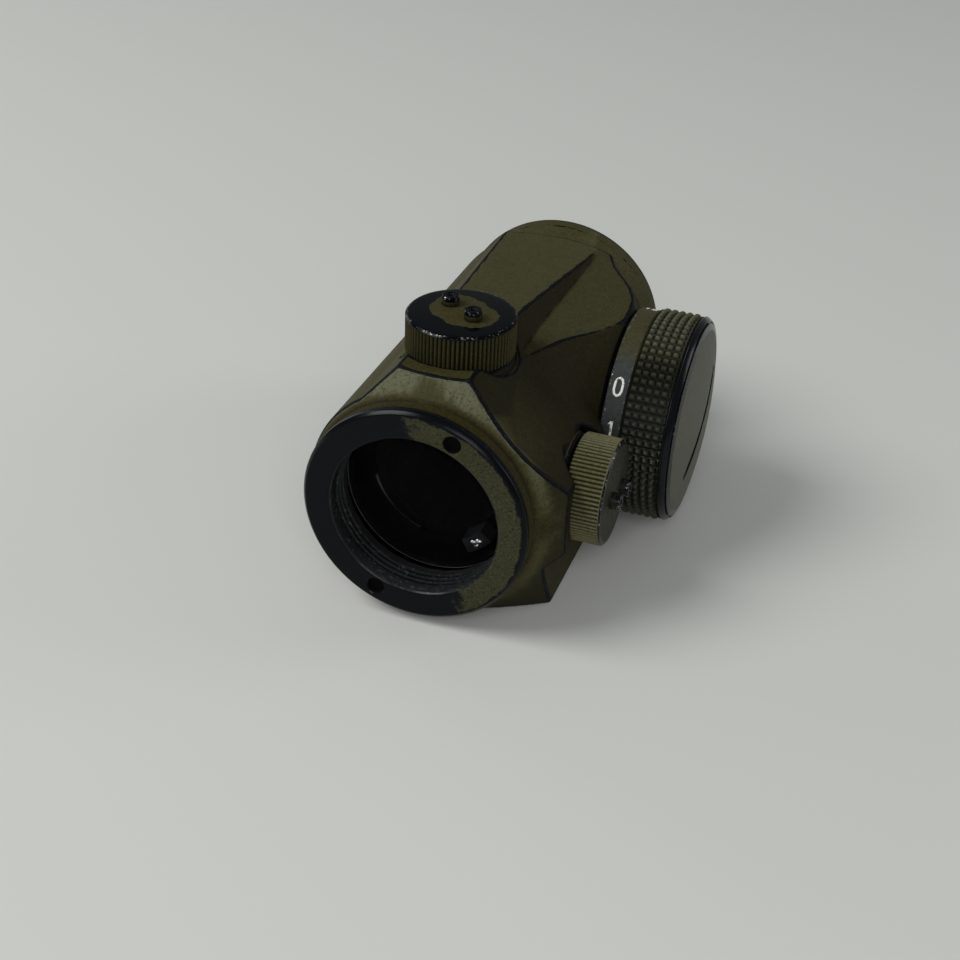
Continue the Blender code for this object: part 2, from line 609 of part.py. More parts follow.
def main():
    for obj in list(bpy.data.objects):
        bpy.data.objects.remove(obj, do_unlink=True)

    olive = material("olive_paint", (0.105, 0.095, 0.055), 0.55, 0.0)
    worn = material("worn_black_ring", (0.02, 0.022, 0.026), 0.38, 0.6)
    cap_paint = material("cap_paint", (0.11, 0.105, 0.075), 0.5, 0.2)
    knob_paint = material("knob_paint", (0.085, 0.085, 0.065), 0.5, 0.2)
    batcap_paint = material("battery_cap_paint", (0.16, 0.155, 0.13), 0.5, 0.1)
    steel = material("steel", (0.55, 0.55, 0.53), 0.3, 1.0)
    brass = material("brass", (0.72, 0.55, 0.25), 0.35, 1.0)
    rubber = material("seal_rubber", (0.012, 0.012, 0.012), 0.7, 0.0)
    anodised = material("black_anodised", (0.012, 0.012, 0.013), 0.5, 0.3)
    glass = material("coated_glass", (0.03, 0.02, 0.05), 0.05, 0.0)
    board = material("circuit_board_green", (0.02, 0.10, 0.05), 0.5, 0.0)
    plastic = material("black_plastic", (0.02, 0.02, 0.02), 0.5, 0.0)
    red = material("led_red", (0.5, 0.02, 0.02), 0.2, 0.0)

    axis = (0, 0, AXIS_Z)
    knob = (0, KNOB_Y, AXIS_Z)
    turret = (0, TURRET_Y, AXIS_Z)

    make_housing(olive)

    make_bezel(worn)
    rest(torus(13.1, 0.3, -29.15), "rear_bezel_seal", rubber, "Y", axis)
    rest(cylinder(*REAR_WINDOW, ROUND), "rear_window", glass, "Y", axis)
    rest(simple_ring(*REAR_WINDOW_SEAL), "rear_window_seal", rubber, "Y", axis)

    rest(simple_ring(*FRONT_WINDOW_RING), "front_window_ring", anodised, "Y", axis)
    rest(simple_ring(*FRONT_WINDOW_SEAL), "front_window_seal", rubber, "Y", axis)
    rest(cylinder(*FRONT_WINDOW, ROUND), "front_window", glass, "Y", axis)

    tube = make_tube(anodised)
    make_pivot_ring(brass)
    lens = rest(turned(lens_profile(LENS_R, 17.0, 14.9, -0.55, 0.35), SMALL), "objective_lens",
                glass, "Y", (0, PIVOT_Y, AXIS_Z))
    bmesh_shift(lens, -PIVOT_Y)
    rest(spring_arc(10.55, 10.85, 200, 250, -18.0, -7.0), "tube_spring", steel, "Z",
         (0, 0, 0))

    make_led(plastic, red, tube)

    to_object(box(*CONTROL_BOARD), "control_board", board, smooth=False)

    for name, ax, shift, angle in (("elevation", "Z", 0.0, ELEV_PIN_ANGLE),
                                   ("windage", "X", WINDAGE_SHIFT, WIND_PIN_ANGLE)):
        make_cap(name + "_cap", cap_paint, ax, shift, angle)
        rest(torus(5.9, 0.25, 16.2 + shift), name + "_cap_seal", rubber, ax, turret)
        make_adjuster(name + "_adjuster", brass, ax, shift)
        rest(plunger_bm(shift), name + "_plunger", steel, ax, turret)
        rest(lock_ring_bm(shift), name + "_lock_ring", steel, ax, turret)

    make_knob(knob_paint)
    rest(simple_ring(4.6, 6.2, 18.6, 19.1), "knob_clip", steel, "X", knob)
    rest(simple_ring(5.5, 10.3, 14.9, 15.6), "switch_board", board, "X", knob)
    wiper = box(7.0, 9.6, -1.2, 1.2, 16.0, 16.65)
    rest(wiper, "switch_wiper", brass, "X", knob)
    ball = bmesh.new()
    bmesh.ops.create_icosphere(ball, subdivisions=1, radius=0.62)
    bmesh.ops.translate(ball, vec=(0, 0, 15.95), verts=ball.verts)
    rest(ball, "detent_ball", steel, "X", (0, KNOB_Y + DETENT_R, AXIS_Z))
    rest(coil_bm(0.5, 0.1, 0.5, 4.5, 12.8), "detent_spring", steel, "X",
         (0, KNOB_Y + DETENT_R, AXIS_Z))
    rest(simple_ring(1.0, 1.9, 12.0, 19.3, PEG), "contact_sleeve", plastic, "X", knob)
    pin = turned([(0, 11.7), (0.65, 11.7), (0.65, 19.4), (0.4, 19.6), (0, 19.6)], PEG)
    rest(pin, "contact_pin", brass, "X", knob)
    rest(simple_ring(7.0, 11.5, 18.6, 19.6), "cell_insulator", plastic, "X", knob)
    cell = turned([(0, CELL_X), (8.3, CELL_X), (8.6, CELL_X + 0.35), (9.7, CELL_X + 0.35),
                   (CELL_R, CELL_X + 0.7), (CELL_R, CELL_X + CELL_H), (0, CELL_X + CELL_H)], SMALL)
    rest(cell, "coin_cell", steel, "X", knob)
    rest(turned([(9.3, 23.4), (9.6, 23.4), (9.6, 23.65), (3.2, 25.1), (2.9, 25.1),
                 (2.9, 24.85)], SMALL), "cell_spring", brass, "X", knob)
    rest(torus(12.2, 0.33, 25.5), "battery_cap_seal", rubber, "X", knob)
    make_battery_cap(batcap_paint)


main()
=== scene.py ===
"""Looks for the compact red dot finder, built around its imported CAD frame."""
import json
import math

import bmesh
import bpy
import numpy as np
from mathutils import Matrix, Vector


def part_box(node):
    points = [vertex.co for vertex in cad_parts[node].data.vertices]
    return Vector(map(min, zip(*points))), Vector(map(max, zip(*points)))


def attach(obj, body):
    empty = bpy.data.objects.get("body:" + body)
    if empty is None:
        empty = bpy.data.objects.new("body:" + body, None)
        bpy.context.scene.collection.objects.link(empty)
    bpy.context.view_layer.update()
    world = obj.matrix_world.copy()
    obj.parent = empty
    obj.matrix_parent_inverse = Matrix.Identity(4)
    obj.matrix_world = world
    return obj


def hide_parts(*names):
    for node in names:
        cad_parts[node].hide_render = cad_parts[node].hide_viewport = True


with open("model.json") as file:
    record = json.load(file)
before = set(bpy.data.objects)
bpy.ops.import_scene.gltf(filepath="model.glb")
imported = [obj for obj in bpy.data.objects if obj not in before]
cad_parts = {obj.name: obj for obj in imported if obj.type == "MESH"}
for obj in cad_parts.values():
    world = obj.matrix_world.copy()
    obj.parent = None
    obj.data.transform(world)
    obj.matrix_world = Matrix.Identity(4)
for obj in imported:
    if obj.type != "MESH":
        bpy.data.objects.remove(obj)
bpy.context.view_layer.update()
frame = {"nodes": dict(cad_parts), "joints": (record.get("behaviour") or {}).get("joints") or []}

# Shapes are drawn in millimetres, in the frame's own axes, and MM turns them into metres.
MM = 0.001
JOINT = {j["name"]: j for j in frame["joints"]}
AXIS_Z = JOINT["tube_tilt"]["pos_m"][2] / MM             # height of the optical axis
KNOB_Y = JOINT["brightness_turn"]["pos_m"][1] / MM
TURRET_Y = JOINT["elevation_cap_turn"]["pos_m"][1] / MM
AXIS_AT = (0, 0, AXIS_Z)
KNOB_AT = (0, KNOB_Y, AXIS_Z)
TURRET_AT = (0, TURRET_Y, AXIS_Z)
ON_AXIS = 1e-6            # a smaller radius than this is a point on the axis


def box_mm(node):
    low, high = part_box(node)
    return Vector(low) / MM, Vector(high) / MM


# ---- mesh helpers (millimetres in, metres out) -----------
def smooth(mesh, sharp_degrees):
    """Smooth shading, with edges sharper than the angle kept hard."""
    mesh.shade_smooth()
    mesh.set_sharp_from_angle(angle=math.radians(sharp_degrees))


def finish_mesh(bm, name, sharp_degrees=35.0):
    bmesh.ops.remove_doubles(bm, verts=bm.verts, dist=1e-4)
    bmesh.ops.recalc_face_normals(bm, faces=bm.faces)
    bmesh.ops.scale(bm, vec=(MM, MM, MM), verts=bm.verts)
    mesh = bpy.data.meshes.new(name)
    bm.to_mesh(mesh)
    bm.free()
    obj = bpy.data.objects.new(name, mesh)
    bpy.context.scene.collection.objects.link(obj)
    smooth(mesh, sharp_degrees)
    return obj


def turned(profile, segments, radius_at=None):
    """A solid of revolution about Z from a closed (radius, height) outline."""
    bm = bmesh.new()
    rings = []
    for r, h in profile:
        if r < ON_AXIS:
            rings.append([bm.verts.new((0, 0, h))])
            continue
        ring = []
        for k in range(segments):
            a = 2 * math.pi * k / segments
            rr = r if radius_at is None else radius_at(r, h, a)
            ring.append(bm.verts.new((rr * math.cos(a), rr * math.sin(a), h)))
        rings.append(ring)
    for i, ring in enumerate(rings):
        after = rings[(i + 1) % len(rings)]
        if len(ring) == 1 and len(after) == 1:
            continue
        for k in range(segments):
            j = (k + 1) % segments
            if len(ring) == 1:
                bm.faces.new((ring[0], after[k], after[j]))
            elif len(after) == 1:
                bm.faces.new((ring[k], after[0], ring[j]))
            else:
                bm.faces.new((ring[k], after[k], after[j], ring[j]))
    return bm


def rounded(outline, radius, steps, skip=()):
    """Round the corners of a closed outline, apart from those listed in skip."""
    out = []
    count = len(outline)
    for i, point in enumerate(outline):
        p = Vector(point)
        before = Vector(outline[i - 1]) - p
        after = Vector(outline[(i + 1) % count]) - p
        cut = min(radius, before.length * 0.45, after.length * 0.45)
        if i in skip or cut < 1e-3 or p.x < ON_AXIS:
            out.append((p.x, p.y))
            continue
        a = p + before.normalized() * cut
        b = p + after.normalized() * cut
        for k in range(steps + 1):
            t = k / steps
            q = a.lerp(p, t).lerp(p.lerp(b, t), t)
            out.append((q.x, q.y))
    return out


def dense(outline, step):
    """Extra points along the long stretches of a closed outline."""
    out = []
    for a, b in zip(outline, outline[1:] + outline[:1]):
        parts = max(1, math.ceil(math.dist(a, b) / step))
        if a[0] < ON_AXIS and b[0] < ON_AXIS:
            parts = 1
        out += [(a[0] + (b[0] - a[0]) * k / parts, a[1] + (b[1] - a[1]) * k / parts)
                for k in range(parts)]
    return out


def zigzag(t):
    """1 at whole numbers, 0 halfway between them and straight lines in between."""
    return abs((t % 1.0) * 2 - 1)


TURNS = {"X": Matrix.Rotation(math.radians(90), 4, "Y"),
         "Y": Matrix.Rotation(math.radians(-90), 4, "X"),
         "Z": Matrix.Identity(4)}


def placed(bm, axis, origin):
    """Stand a shape turned about Z on another axis through a point."""
    bmesh.ops.transform(bm, matrix=Matrix.Translation(origin) @ TURNS[axis], verts=bm.verts)
    return bm


def cylinder(r, h0, h1, segments):
    return turned([(0, h0), (r, h0), (r, h1), (0, h1)], segments)


def box(x0, x1, y0, y1, z0, z1):
    bm = bmesh.new()
    bmesh.ops.create_cube(bm, size=1.0)
    bmesh.ops.scale(bm, vec=(x1 - x0, y1 - y0, z1 - z0), verts=bm.verts)
    bmesh.ops.translate(bm, vec=((x0 + x1) / 2, (y0 + y1) / 2, (z0 + z1) / 2), verts=bm.verts)
    return bm


def evaluated(obj):
    """Swap the object's mesh for what its modifiers make of it."""
    bpy.context.view_layer.update()
    graph = bpy.context.evaluated_depsgraph_get()
    result = bpy.data.meshes.new_from_object(obj.evaluated_get(graph))
    obj.modifiers.clear()
    old = obj.data
    obj.data = result
    bpy.data.meshes.remove(old)


def boolean(obj, operation, *cutters):
    tools = [finish_mesh(bm, "cutter") for bm in cutters]
    for tool in tools:
        mod = obj.modifiers.new("cut", "BOOLEAN")
        mod.operation = operation
        mod.solver = "MANIFOLD"
        mod.object = tool
    evaluated(obj)
    for tool in tools:
        bpy.data.objects.remove(tool)


# ---- material helpers ------------------------------------
# sockets of a Mix node for numbers and for colours: its two inputs and its result
MIX_SOCKETS = {"FLOAT": (2, 3, 0), "RGBA": (6, 7, 2)}


class Nodes:
    """Short names for shader nodes. Any value is a socket, a number or a linear colour."""

    def __init__(self, name):
        self.mat = bpy.data.materials.new(name)
        self.mat.use_nodes = True
        self.tree = self.mat.node_tree
        self.shader = self.tree.nodes["Principled BSDF"]
        self.place = self.add("ShaderNodeTexCoord").outputs["Object"]

    def add(self, kind, inputs=(), **settings):
        node = self.tree.nodes.new(kind)
        for key, value in settings.items():
            setattr(node, key, value)
        for key, value in dict(inputs).items():
            self.link(value, node.inputs[key])
        return node

    def link(self, source, target):
        if isinstance(source, (int, float)):
            target.default_value = source
        elif isinstance(source, tuple):
            target.default_value = (*source, 1.0) if len(target.default_value) == 4 else source
        else:
            self.tree.links.new(source, target)

    def noise(self, size_mm, detail, rough):
        inputs = {"Vector": self.place, "Scale": 1 / (size_mm * MM), "Detail": detail,
                  "Roughness": rough}
        return self.add("ShaderNodeTexNoise", inputs).outputs["Fac"]

    def maths(self, operation, a, b=0.0, clamp=False):
        node = self.add("ShaderNodeMath", {0: a, 1: b}, operation=operation, use_clamp=clamp)
        return node.outputs[0]

    def plus(self, a, b, clamp=False):
        return self.maths("ADD", a, b, clamp)

    def minus(self, a, b):
        return self.maths("SUBTRACT", a, b)

    def times(self, a, b, clamp=False):
        return self.maths("MULTIPLY", a, b, clamp)

    def most(self, a, b):
        return self.maths("MAXIMUM", a, b)

    def weigh(self, a, share_a, b, share_b):
        return self.plus(self.times(a, share_a), self.times(b, share_b))

    def toward(self, a, b, degrees):
        """How far (a, b) reaches in a direction, counted from a toward b."""
        turn = math.radians(degrees)
        return self.weigh(a, math.cos(turn), b, math.sin(turn))

    def length(self, a, b):
        return self.maths("SQRT", self.plus(self.times(a, a), self.times(b, b)))

    def swing(self, noise, size):
        """A 0-1 noise moved to lie evenly about zero, size high from end to end."""
        return self.times(self.minus(noise, 0.5), size)

    def step(self, value, low, high):
        """0 below low, 1 above high, smooth between (low may be above high)."""
        falls = float(low > high)
        inputs = {"Value": value, "From Min": min(low, high), "From Max": max(low, high),
                  "To Min": falls, "To Max": 1 - falls}
        node = self.add("ShaderNodeMapRange", inputs, interpolation_type="SMOOTHSTEP")
        return node.outputs["Result"]

    def between(self, kind, share, a, b):
        first, second, result = MIX_SOCKETS[kind]
        node = self.add("ShaderNodeMix", {0: share, first: a, second: b}, data_type=kind)
        return node.outputs[result]

    def mix(self, share, a, b):
        """Between two colours."""
        return self.between("RGBA", share, a, b)

    def blend(self, share, a, b):
        """Between two numbers."""
        return self.between("FLOAT", share, a, b)

    def attribute(self, name):
        return self.add("ShaderNodeAttribute", attribute_name=name).outputs["Fac"]

    def local(self, origin_mm):
        """x, y and z in mm about a point."""
        origin = tuple(Vector(origin_mm) * MM)
        shift = self.add("ShaderNodeVectorMath", {0: self.place, 1: origin},
                         operation="SUBTRACT")
        place = self.scaled(shift.outputs[0], 1 / MM)
        return tuple(self.add("ShaderNodeSeparateXYZ", {0: place}).outputs)

    def scaled(self, vector, factor):
        node = self.add("ShaderNodeVectorMath", {0: vector, "Scale": factor},
                        operation="SCALE")
        return node.outputs[0]

    def bump(self, height, distance_mm, normal=None):
        inputs = {"Height": height, "Distance": distance_mm * MM, "Strength": 1.0}
        if normal is not None:
            inputs["Normal"] = normal
        return self.add("ShaderNodeBump", inputs).outputs["Normal"]

    def finish(self, colour, rough, metal=0.0, normal=None):
        self.link(colour, self.shader.inputs["Base Color"])
        self.link(rough, self.shader.inputs["Roughness"])
        self.link(metal, self.shader.inputs["Metallic"])
        if normal is not None:
            self.link(normal, self.shader.inputs["Normal"])
        return self.mat


def linear(r, g, b):
    """An sRGB colour (0-255) as linear light."""
    shares = (r / 255, g / 255, b / 255)
    return tuple(c / 12.92 if c <= 0.04045 else ((c + 0.055) / 1.055) ** 2.4 for c in shares)


OLIVE = linear(64, 62, 38)
OLIVE_LIGHT = linear(52, 52, 35)
# paler tone, painted highlight on lit faces of the housing
OLIVE_LIT_PALE = linear(104, 105, 85)
OLIVE_BROWN = linear(49, 44, 17)
# paler tone, painted highlight on the knurl's tips
KNURL_LIT_PALE = linear(98, 100, 82)
GREY_OLIVE = linear(86, 86, 75)
TAN = linear(93, 90, 60)
CAP_GREY = linear(24, 25, 18)
ANODISED = linear(4, 6, 10)
# paler anodising, for scuffs and for painted highlight on the bezel threads
SCUFFED_AND_LIT = linear(74, 79, 78)
BARE = linear(190, 190, 184)
# near black for grime and painted shade in the hollows
DIRT_AND_SHADE = linear(10, 10, 5)
BLACK_DULL = linear(5, 5, 6)
NUMBER_WHITE = linear(222, 224, 216)
NUMBER_WORN = linear(70, 72, 66)
FLOOR_PALE = linear(202, 203, 198)
GLASS_CLEAR = (0.93, 0.95, 0.97)
GLASS_VIOLET = (0.75, 0.7, 0.85)
COATING_TINT = (0.1, 0.07, 0.14, 1)    # what little the coated glass reflects
COATED_IOR = 1.15         # below real glass, because the coating takes away most reflections
PAINT_GRAIN = 0.012
PAINT_THICKNESS = 0.02


def worn_paint(name, tones, speckle, wear, glints, black=None, inside=None, rough=0.55,
               specular=0.2, gloss=0.16, lit_tone=OLIVE_LIT_PALE):
    """Matte overspray worn through to black anodising.

    tones: the paint's main and second colour. speckle, wear, glints: how strong the fine spots,
    the worn edges and the bright metal on them are. black(n, fine): a 0-1 mask of areas
    without paint, and inside(n) one of dull black areas. rough is the paint's roughness and
    gloss the anodising's.
    Point attributes place the rest: edge carries wear, hollow carries grime with painted shade,
    brown_and_lit the second tone (lit_tone below zero, a painted highlight), dark darkens the
    paint as painted shade on the housing and the elevation cap's wall, and scuff_and_highlight
    pales the anodising, for scuffs and as painted highlight.
    """
    n = Nodes(name)
    broad = n.noise(9.0, 3, 0.55)
    fine = n.noise(0.9, 6, 0.7)
    specks = n.noise(0.32, 3, 0.6)
    grit = n.noise(0.2, 3, 0.6)
    spark = n.noise(0.45, 4, 0.7)
    clouds = n.step(fine, 0.3, 0.7)
    edge = n.attribute("edge")
    second = n.attribute("brown_and_lit")

    paint = n.mix(n.plus(second, n.swing(broad, 0.7), clamp=True), tones[0], tones[1])
    # painted highlight: below zero the attribute turns the paint to the paler lit tone
    lit_pale = n.times(second, -1.0, clamp=True)
    mottle = n.plus(0.7, n.swing(specks, 1.6))
    paint = n.mix(n.times(lit_pale, mottle, clamp=True), paint, lit_tone)
    lighter = tuple(min(1.0, c * 1.9) for c in tones[0])
    darker = tuple(c * 0.35 for c in tones[1])
    paint = n.mix(n.times(n.step(specks, 0.52, 0.72), 0.5 * speckle), paint, lighter)
    paint = n.mix(n.times(n.step(specks, 0.46, 0.3), 0.75 * speckle), paint, darker)
    # grime and painted shade: hollows darken toward near black
    dirt_and_shade = n.plus(n.attribute("hollow"), n.swing(fine, 0.8))
    paint = n.mix(n.times(n.step(dirt_and_shade, 0.2, 0.9), 0.8), paint, DIRT_AND_SHADE)
    # painted shade: the dark attribute scales the paint down
    shade = n.minus(1.0, n.times(n.attribute("dark"), 0.6))
    paint = n.scaled(paint, n.times(n.blend(clouds, 0.88, 1.1), shade))

    bare = n.step(n.plus(n.times(edge, wear), n.swing(fine, 1.1)), 0.42, 0.56)
    if black is not None:
        bare = n.most(bare, black(n, fine))
    glint = n.times(n.step(edge, 0.55, 0.9), n.step(spark, 0.56, 0.66))
    glint = n.times(glint, glints)
    # paler anodising, partly scuffs and partly painted highlight
    scuff_and_highlight = n.times(n.attribute("scuff_and_highlight"), n.blend(clouds, 0.65, 1.0))
    metal = n.mix(glint, n.mix(scuff_and_highlight, ANODISED, SCUFFED_AND_LIT), BARE)

    colour = n.mix(bare, paint, metal)
    roughness = n.blend(bare, n.blend(fine, rough * 0.85, rough * 1.2),
                        n.blend(specks, gloss, gloss * 1.6))
    if inside is not None:
        deep = inside(n)
        colour = n.mix(deep, colour, BLACK_DULL)
        roughness = n.blend(deep, roughness, 0.95)
    coat = n.bump(n.plus(n.times(grit, 0.5), fine), PAINT_GRAIN)
    lift = n.bump(n.minus(1.0, bare), PAINT_THICKNESS, normal=coat)
    n.shader.inputs["Specular IOR Level"].default_value = specular
    return n.finish(colour, roughness, n.times(glint, bare), lift)


def plain_look(name, colour, rough, metal=0.0, size=0.3, grain=0.004, specular=0.3):
    """An almost even colour, with a grain size mm wide and grain mm high."""
    n = Nodes(name)
    n.shader.inputs["Specular IOR Level"].default_value = specular
    fine = n.noise(size, 4, 0.6)
    clouds = n.step(n.noise(size * 6, 3, 0.6), 0.3, 0.7)
    tone = n.mix(clouds, tuple(c * 0.8 for c in colour), colour)
    return n.finish(tone, n.blend(fine, rough * 0.8, min(1.0, rough * 1.25)), metal,
                    n.bump(fine, grain))


def coated_glass(name, tint, rim):
    """Low reflection glass, with the ground edge at radius rim blackened."""
    n = Nodes(name)
    x, _, z = n.local(AXIS_AT)
    clear = n.step(n.length(x, z), rim - 0.05, rim - 0.15)
    n.link(clear, n.shader.inputs["Transmission Weight"])
    n.shader.inputs["IOR"].default_value = COATED_IOR
    n.shader.inputs["Specular Tint"].default_value = COATING_TINT
    smear = n.noise(3.0, 3, 0.5)
    shade = n.mix(smear, tint, tuple(min(1.0, c * 1.05) for c in tint))
    return n.finish(n.mix(clear, BLACK_DULL, shade), 0.0)


def assign(obj, mat):
    obj.data.materials.clear()
    obj.data.materials.append(mat)


# ---- mesh attributes that place wear ---------------------
def point_arrays(mesh):
    """Places and normals of the points, and the two ends of every edge."""
    count = len(mesh.vertices)
    co = np.empty(count * 3)
    mesh.vertices.foreach_get("co", co)
    normal = np.empty(count * 3)
    mesh.vertex_normals.foreach_get("vector", normal)
    ends = np.empty(len(mesh.edges) * 2, dtype=np.int64)
    mesh.edges.foreach_get("vertices", ends)
    return co.reshape(-1, 3), normal.reshape(-1, 3), ends.reshape(-1, 2)


def about(co, origin_mm):
    """Columns x, y and z in mm about a point."""
    return [co[:, i] / MM - origin_mm[i] for i in range(3)]


def spread(values, ends, rounds):
    """Average each point's value with its neighbours', some rounds over."""
    a, b = ends[:, 0], ends[:, 1]
    degree = np.bincount(a, minlength=len(values)) + np.bincount(b, minlength=len(values))
    flat = values.ndim == 1
    out = values.reshape(len(values), -1).astype(float)
    for _ in range(rounds):
        total = np.zeros_like(out)
        for c in range(out.shape[1]):
            total[:, c] = (np.bincount(a, out[b, c], len(out))
                           + np.bincount(b, out[a, c], len(out)))
        out = 0.5 * out + 0.5 * total / np.maximum(degree, 1)[:, None]
    return out[:, 0] if flat else out


def store(mesh, name, values):
    layer = mesh.attributes.get(name) or mesh.attributes.new(name, "FLOAT", "POINT")
    layer.data.foreach_set("value", np.ascontiguousarray(values, dtype=np.float32))


def set_where(mesh, name, where, values):
    """Change a stored attribute at some of the points."""
    layer = mesh.attributes[name]
    old = np.empty(len(mesh.vertices), dtype=np.float32)
    layer.data.foreach_get("value", old)
    layer.data.foreach_set("value", np.where(where, values, old).astype(np.float32))


def proudness(mesh, rounds, full_mm):
    """1 where the surface stands full_mm proud of its smoothed self, -1 as far below it."""
    co, normal, ends = point_arrays(mesh)
    proud = np.einsum("ij,ij->i", co - spread(co, ends, rounds), normal) / MM
    return spread(np.clip(proud / full_mm, -1.5, 1.5), ends, 1)


def mark_wear(obj, rounds=4, full_mm=0.03):
    """Edge and hollow marks read off the shape, and no second tone yet."""
    proud = proudness(obj.data, rounds, full_mm)
    store(obj.data, "edge", np.clip(proud, 0, 1))
    store(obj.data, "hollow", np.clip(-proud, 0, 1))
    store(obj.data, "brown_and_lit", np.zeros(len(obj.data.vertices)))


# ---- housing ---------------------------------------------
TUBE_R = 15.45
FLAT_Z = 17.13            # the top flat above the axis, up to where it starts to fall
BASE_X = 15.55
COLLAR_R = 14.5
REAR_CONE = -42.45        # the 45 degree cones: radius = y - REAR_CONE at the back
FRONT_CONE = 39.15        # and radius = FRONT_CONE - y at the front
BODY_FRONT = 31.0
BOSS_R = 13.4
BOSS_X = 16.2
BOSS_CLEAR_R = 14.25      # room round the knob
POST_R = 4.2
TURRET_STEP = 0.45        # the windage turret stands this much further out
POCKET_R = 7.4            # flat pocket that each turret cap stands in
POCKET_FLOOR = 14.6
FLANGE_R = 6.7
FLANGE_TOP = 15.6
STUB_R = 5.35
STUB_TOP = 19.2
OUTSIDE = 24.0            # beyond every part of the body
BASE_HOLE_X = 11.2
BASE_HOLE_Y = 12.0
SECTIONS = (
    # y, x of the ridge, then (x, height) of crease, edge, middle and side
    (-29.5, 4.75, (8.4, 13.6), (11.2, 10.8), (14.55, 7.45), (17.85, 4.15)),
    (-13.6, 4.55, (6.75, 15.25), (7.4, 14.6), (12.6, 9.4), (17.85, 4.15)),
    (-11.5, 4.45, (6.65, 14.85), (7.55, 14.45), (12.6, 9.4), (17.85, 4.15)),
    (-8.4, 4.32, (6.55, 14.72), (8.7, 14.4), (13.1, 9.35), (17.6, 4.1)),
    (-6.4, 4.25, (6.5, 14.8), (9.6, 14.33), (13.2, 9.9), (16.55, 4.9)),
    (-5.0, 4.3, (6.5, 14.86), (10.25, 14.28), (13.6, 10.6), (16.9, 5.5)),
    (-3.0, 4.45, (6.55, 14.92), (11.5, 14.2), (14.2, 12.0), (16.9, 8.5)),
    (-0.3, 4.75, (6.6, 15.0), (13.4, 14.05), (15.0, 13.1), (16.9, 10.6)),
    (2.6, 5.1, (6.75, 15.08), (15.0, 13.98), (15.75, 13.5), (16.9, 11.7)),
    (5.3, 5.45, (6.85, 15.12), (16.0, 13.92), (16.08, 13.65), (16.9, 10.0)),
    (9.2, 5.9, (7.05, 15.25), (15.8, 14.08), (15.98, 13.6), (16.9, 9.4)),
    (11.4, 6.2, (7.15, 15.3), (15.3, 14.22), (15.65, 13.3), (16.9, 9.3)),
    (13.6, 6.45, (7.25, 15.36), (14.3, 14.42), (15.0, 12.7), (16.9, 8.0)),
    (15.6, 6.7, (7.35, 15.42), (12.85, 14.68), (14.0, 11.9), (15.0, 9.5)),
    (17.9, 7.0, (7.42, 15.5), (11.05, 15.0), (12.8, 10.8), (14.1, 8.0)),
    (20.6, 7.3, (7.5, 15.55), (9.65, 15.25), (12.0, 9.8), (13.6, 6.5)),
    (24.5, 7.65, (7.9, 15.5), (8.6, 15.4), (11.2, 9.4), (13.4, 5.5)),
)
SUBSTEPS = 5              # loft slices between two sections
BORE = [(0, -32), (13.65, -32), (13.65, -28.7), (12.7, -28.7), (12.7, -25.6), (12.1, -25.6),
        (12.1, -23.1), (11.2, -23.1), (11.2, 22.5), (12.6, 22.5), (12.6, 32), (0, 32)]
VOXEL = 0.24
SOFTEN_ROUNDS = 2
MOST_TRIANGLES = 185000


def ridge_height(y):
    """The top flat falls slowly toward the front."""
    return FLAT_Z if y < -5.5 else FLAT_Z - (y + 5.5) * 0.0552


def left_ridge(y):
    """The top flat widens slowly toward the front."""
    return 4.75 if y < -8 else 4.95 + (y + 8) * 0.064


def section_points():
    """Each section as y and a closed outline of (x, height above the axis)."""
    for y, ridge, crease, edge, mid, side in SECTIONS:
        top = ridge_height(y)
        yield y, [(-left_ridge(y), top), (ridge, top), crease, edge, mid, side,
                  (side[0], -5.1), (BASE_X, -6.9), (BASE_X, -AXIS_Z), (-BASE_X, -AXIS_Z),
                  (-BASE_X, -2.0), (-10.6, 10.6)]


def monotone(ys, values, y):
    """Cubic through the values that never overshoots them."""
    k = max(0, min(len(ys) - 2, int(np.searchsorted(ys, y)) - 1))
    slope = [(values[i + 1] - values[i]) / (ys[i + 1] - ys[i]) for i in range(len(ys) - 1)]

    def tangent(i):
        if i == 0 or i == len(ys) - 1:
            return slope[min(i, len(slope) - 1)]
        a, b = slope[i - 1], slope[i]
        return 0.0 if a * b <= 0 else 2 * a * b / (a + b)

    h = ys[k + 1] - ys[k]
    t = (y - ys[k]) / h
    return ((2 * t ** 3 - 3 * t ** 2 + 1) * values[k] + (t ** 3 - 2 * t ** 2 + t) * h * tangent(k)
            + (3 * t ** 2 - 2 * t ** 3) * values[k + 1] + (t ** 3 - t ** 2) * h * tangent(k + 1))


def housing_loft():
    """The angular block, lofted through the sections."""
    rows = list(section_points())
    ys = [row[0] for row in rows]
    flat = [[c for point in row[1] for c in point] for row in rows]
    slices = [ys[0]]
    for a, b in zip(ys, ys[1:]):
        slices += [a + (b - a) * (k + 1) / SUBSTEPS for k in range(SUBSTEPS)]
    bm = bmesh.new()
    loops = []
    for y in slices:
        values = [monotone(ys, [f[i] for f in flat], y) for i in range(len(flat[0]))]
        loops.append([bm.verts.new((values[i], y, values[i + 1] + AXIS_Z))
                      for i in range(0, len(values), 2)])
    for a, b in zip(loops, loops[1:]):
        for k in range(len(a)):
            j = (k + 1) % len(a)
            bm.faces.new((a[k], a[j], b[j], b[k]))
    bm.faces.new(loops[0])
    bm.faces.new(list(reversed(loops[-1])))
    bmesh.ops.triangulate(bm, faces=bm.faces)
    return bm


